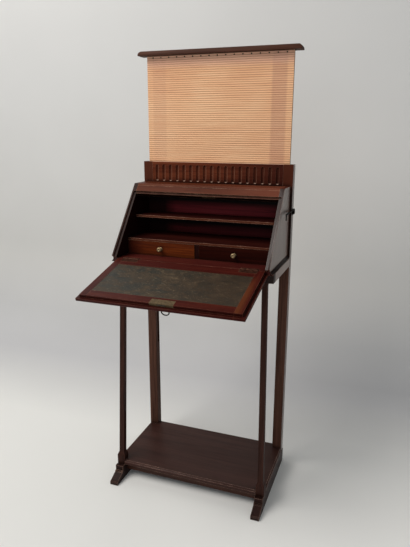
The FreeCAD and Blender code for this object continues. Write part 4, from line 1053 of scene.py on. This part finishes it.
# %% Floor and wall
FLOOR_FRONT = -3.5
WALL_AT = 1.0
WALL_TOP = 3.2
HALF_WIDE = 3.0
SWEEP_RADIUS = 0.5
SWEEP_STEPS = 12
sweep = [Vector((0, FLOOR_FRONT, 0)), Vector((0, WALL_AT - SWEEP_RADIUS, 0))]
for step in range(1, SWEEP_STEPS + 1):
    angle = math.radians(90 * step / SWEEP_STEPS)
    sweep.append(Vector((0, WALL_AT - SWEEP_RADIUS + SWEEP_RADIUS * math.sin(angle),
                         SWEEP_RADIUS - SWEEP_RADIUS * math.cos(angle))))
sweep.append(Vector((0, WALL_AT, WALL_TOP)))
floor_points = [p + Vector((side * HALF_WIDE, 0, 0)) for p in sweep for side in (-1, 1)]
floor_faces = [(2 * k, 2 * k + 1, 2 * k + 3, 2 * k + 2) for k in range(len(sweep) - 1)]
floor_mesh = bpy.data.meshes.new("studio_sweep")
floor_mesh.from_pydata(floor_points, [], floor_faces)
floor_mesh.polygons.foreach_set("use_smooth", [True] * len(floor_faces))
floor_mesh.materials.append(studio_paint())
floor = bpy.data.objects.new("studio_sweep", floor_mesh)
bpy.context.scene.collection.objects.link(floor)
print("studio", 2 * HALF_WIDE, "m wide, wall", WALL_AT, "m behind the desk")

# %% [markdown]
# The light is soft daylight from high up in front and a little to the left,
# which puts the shade of the cap on the cloth and leaves the left of the
# pigeonholes dark. The rest of the room adds an even glow.

# %% Lights
ROOM_GLOW = 0.34


def soft_lamp(name, place, target, wide, tall, watts, chart):
    """A rectangular lamp aimed at a point."""
    lamp = bpy.data.lights.new(name, "AREA")
    lamp.shape = "RECTANGLE"
    lamp.size = wide
    lamp.size_y = tall
    lamp.energy = watts
    lamp.color = linear(chart)[:3]
    holder = bpy.data.objects.new(name, lamp)
    holder.location = place
    holder.rotation_euler = (Vector(target) - Vector(place)).to_track_quat("-Z", "Y").to_euler()
    bpy.context.scene.collection.objects.link(holder)
    print(name, "lamp", watts, "watts")


soft_lamp("window", place=(-1.6, -1.3, 3.26), target=(0, 0.15, 0.9), wide=2.2, tall=2.2, watts=100,
          chart="#FFFAF4")
soft_lamp("fill", place=(0.6, -3.2, 1.3), target=(0, 0, 0.7), wide=2.0, tall=1.6, watts=14,
          chart="#F4F8FF")

world = bpy.data.worlds.new("room")
bpy.context.scene.world = world
world.use_nodes = True
world.node_tree.nodes.clear()
glow = add(world.node_tree, "Background", {"Color": linear("#D9DCDC"), "Strength": ROOM_GLOW})
add(world.node_tree, "OutputWorld", {"Surface": glow.outputs["Background"]})

# %% [markdown]
# The last cell lists the solids that have no finish.

# %% Solids without a finish
left_out = sorted(set(nodes) - set(finished) - {"writing_leather", "screen_cloth"})
print("solids without a finish:", left_out)
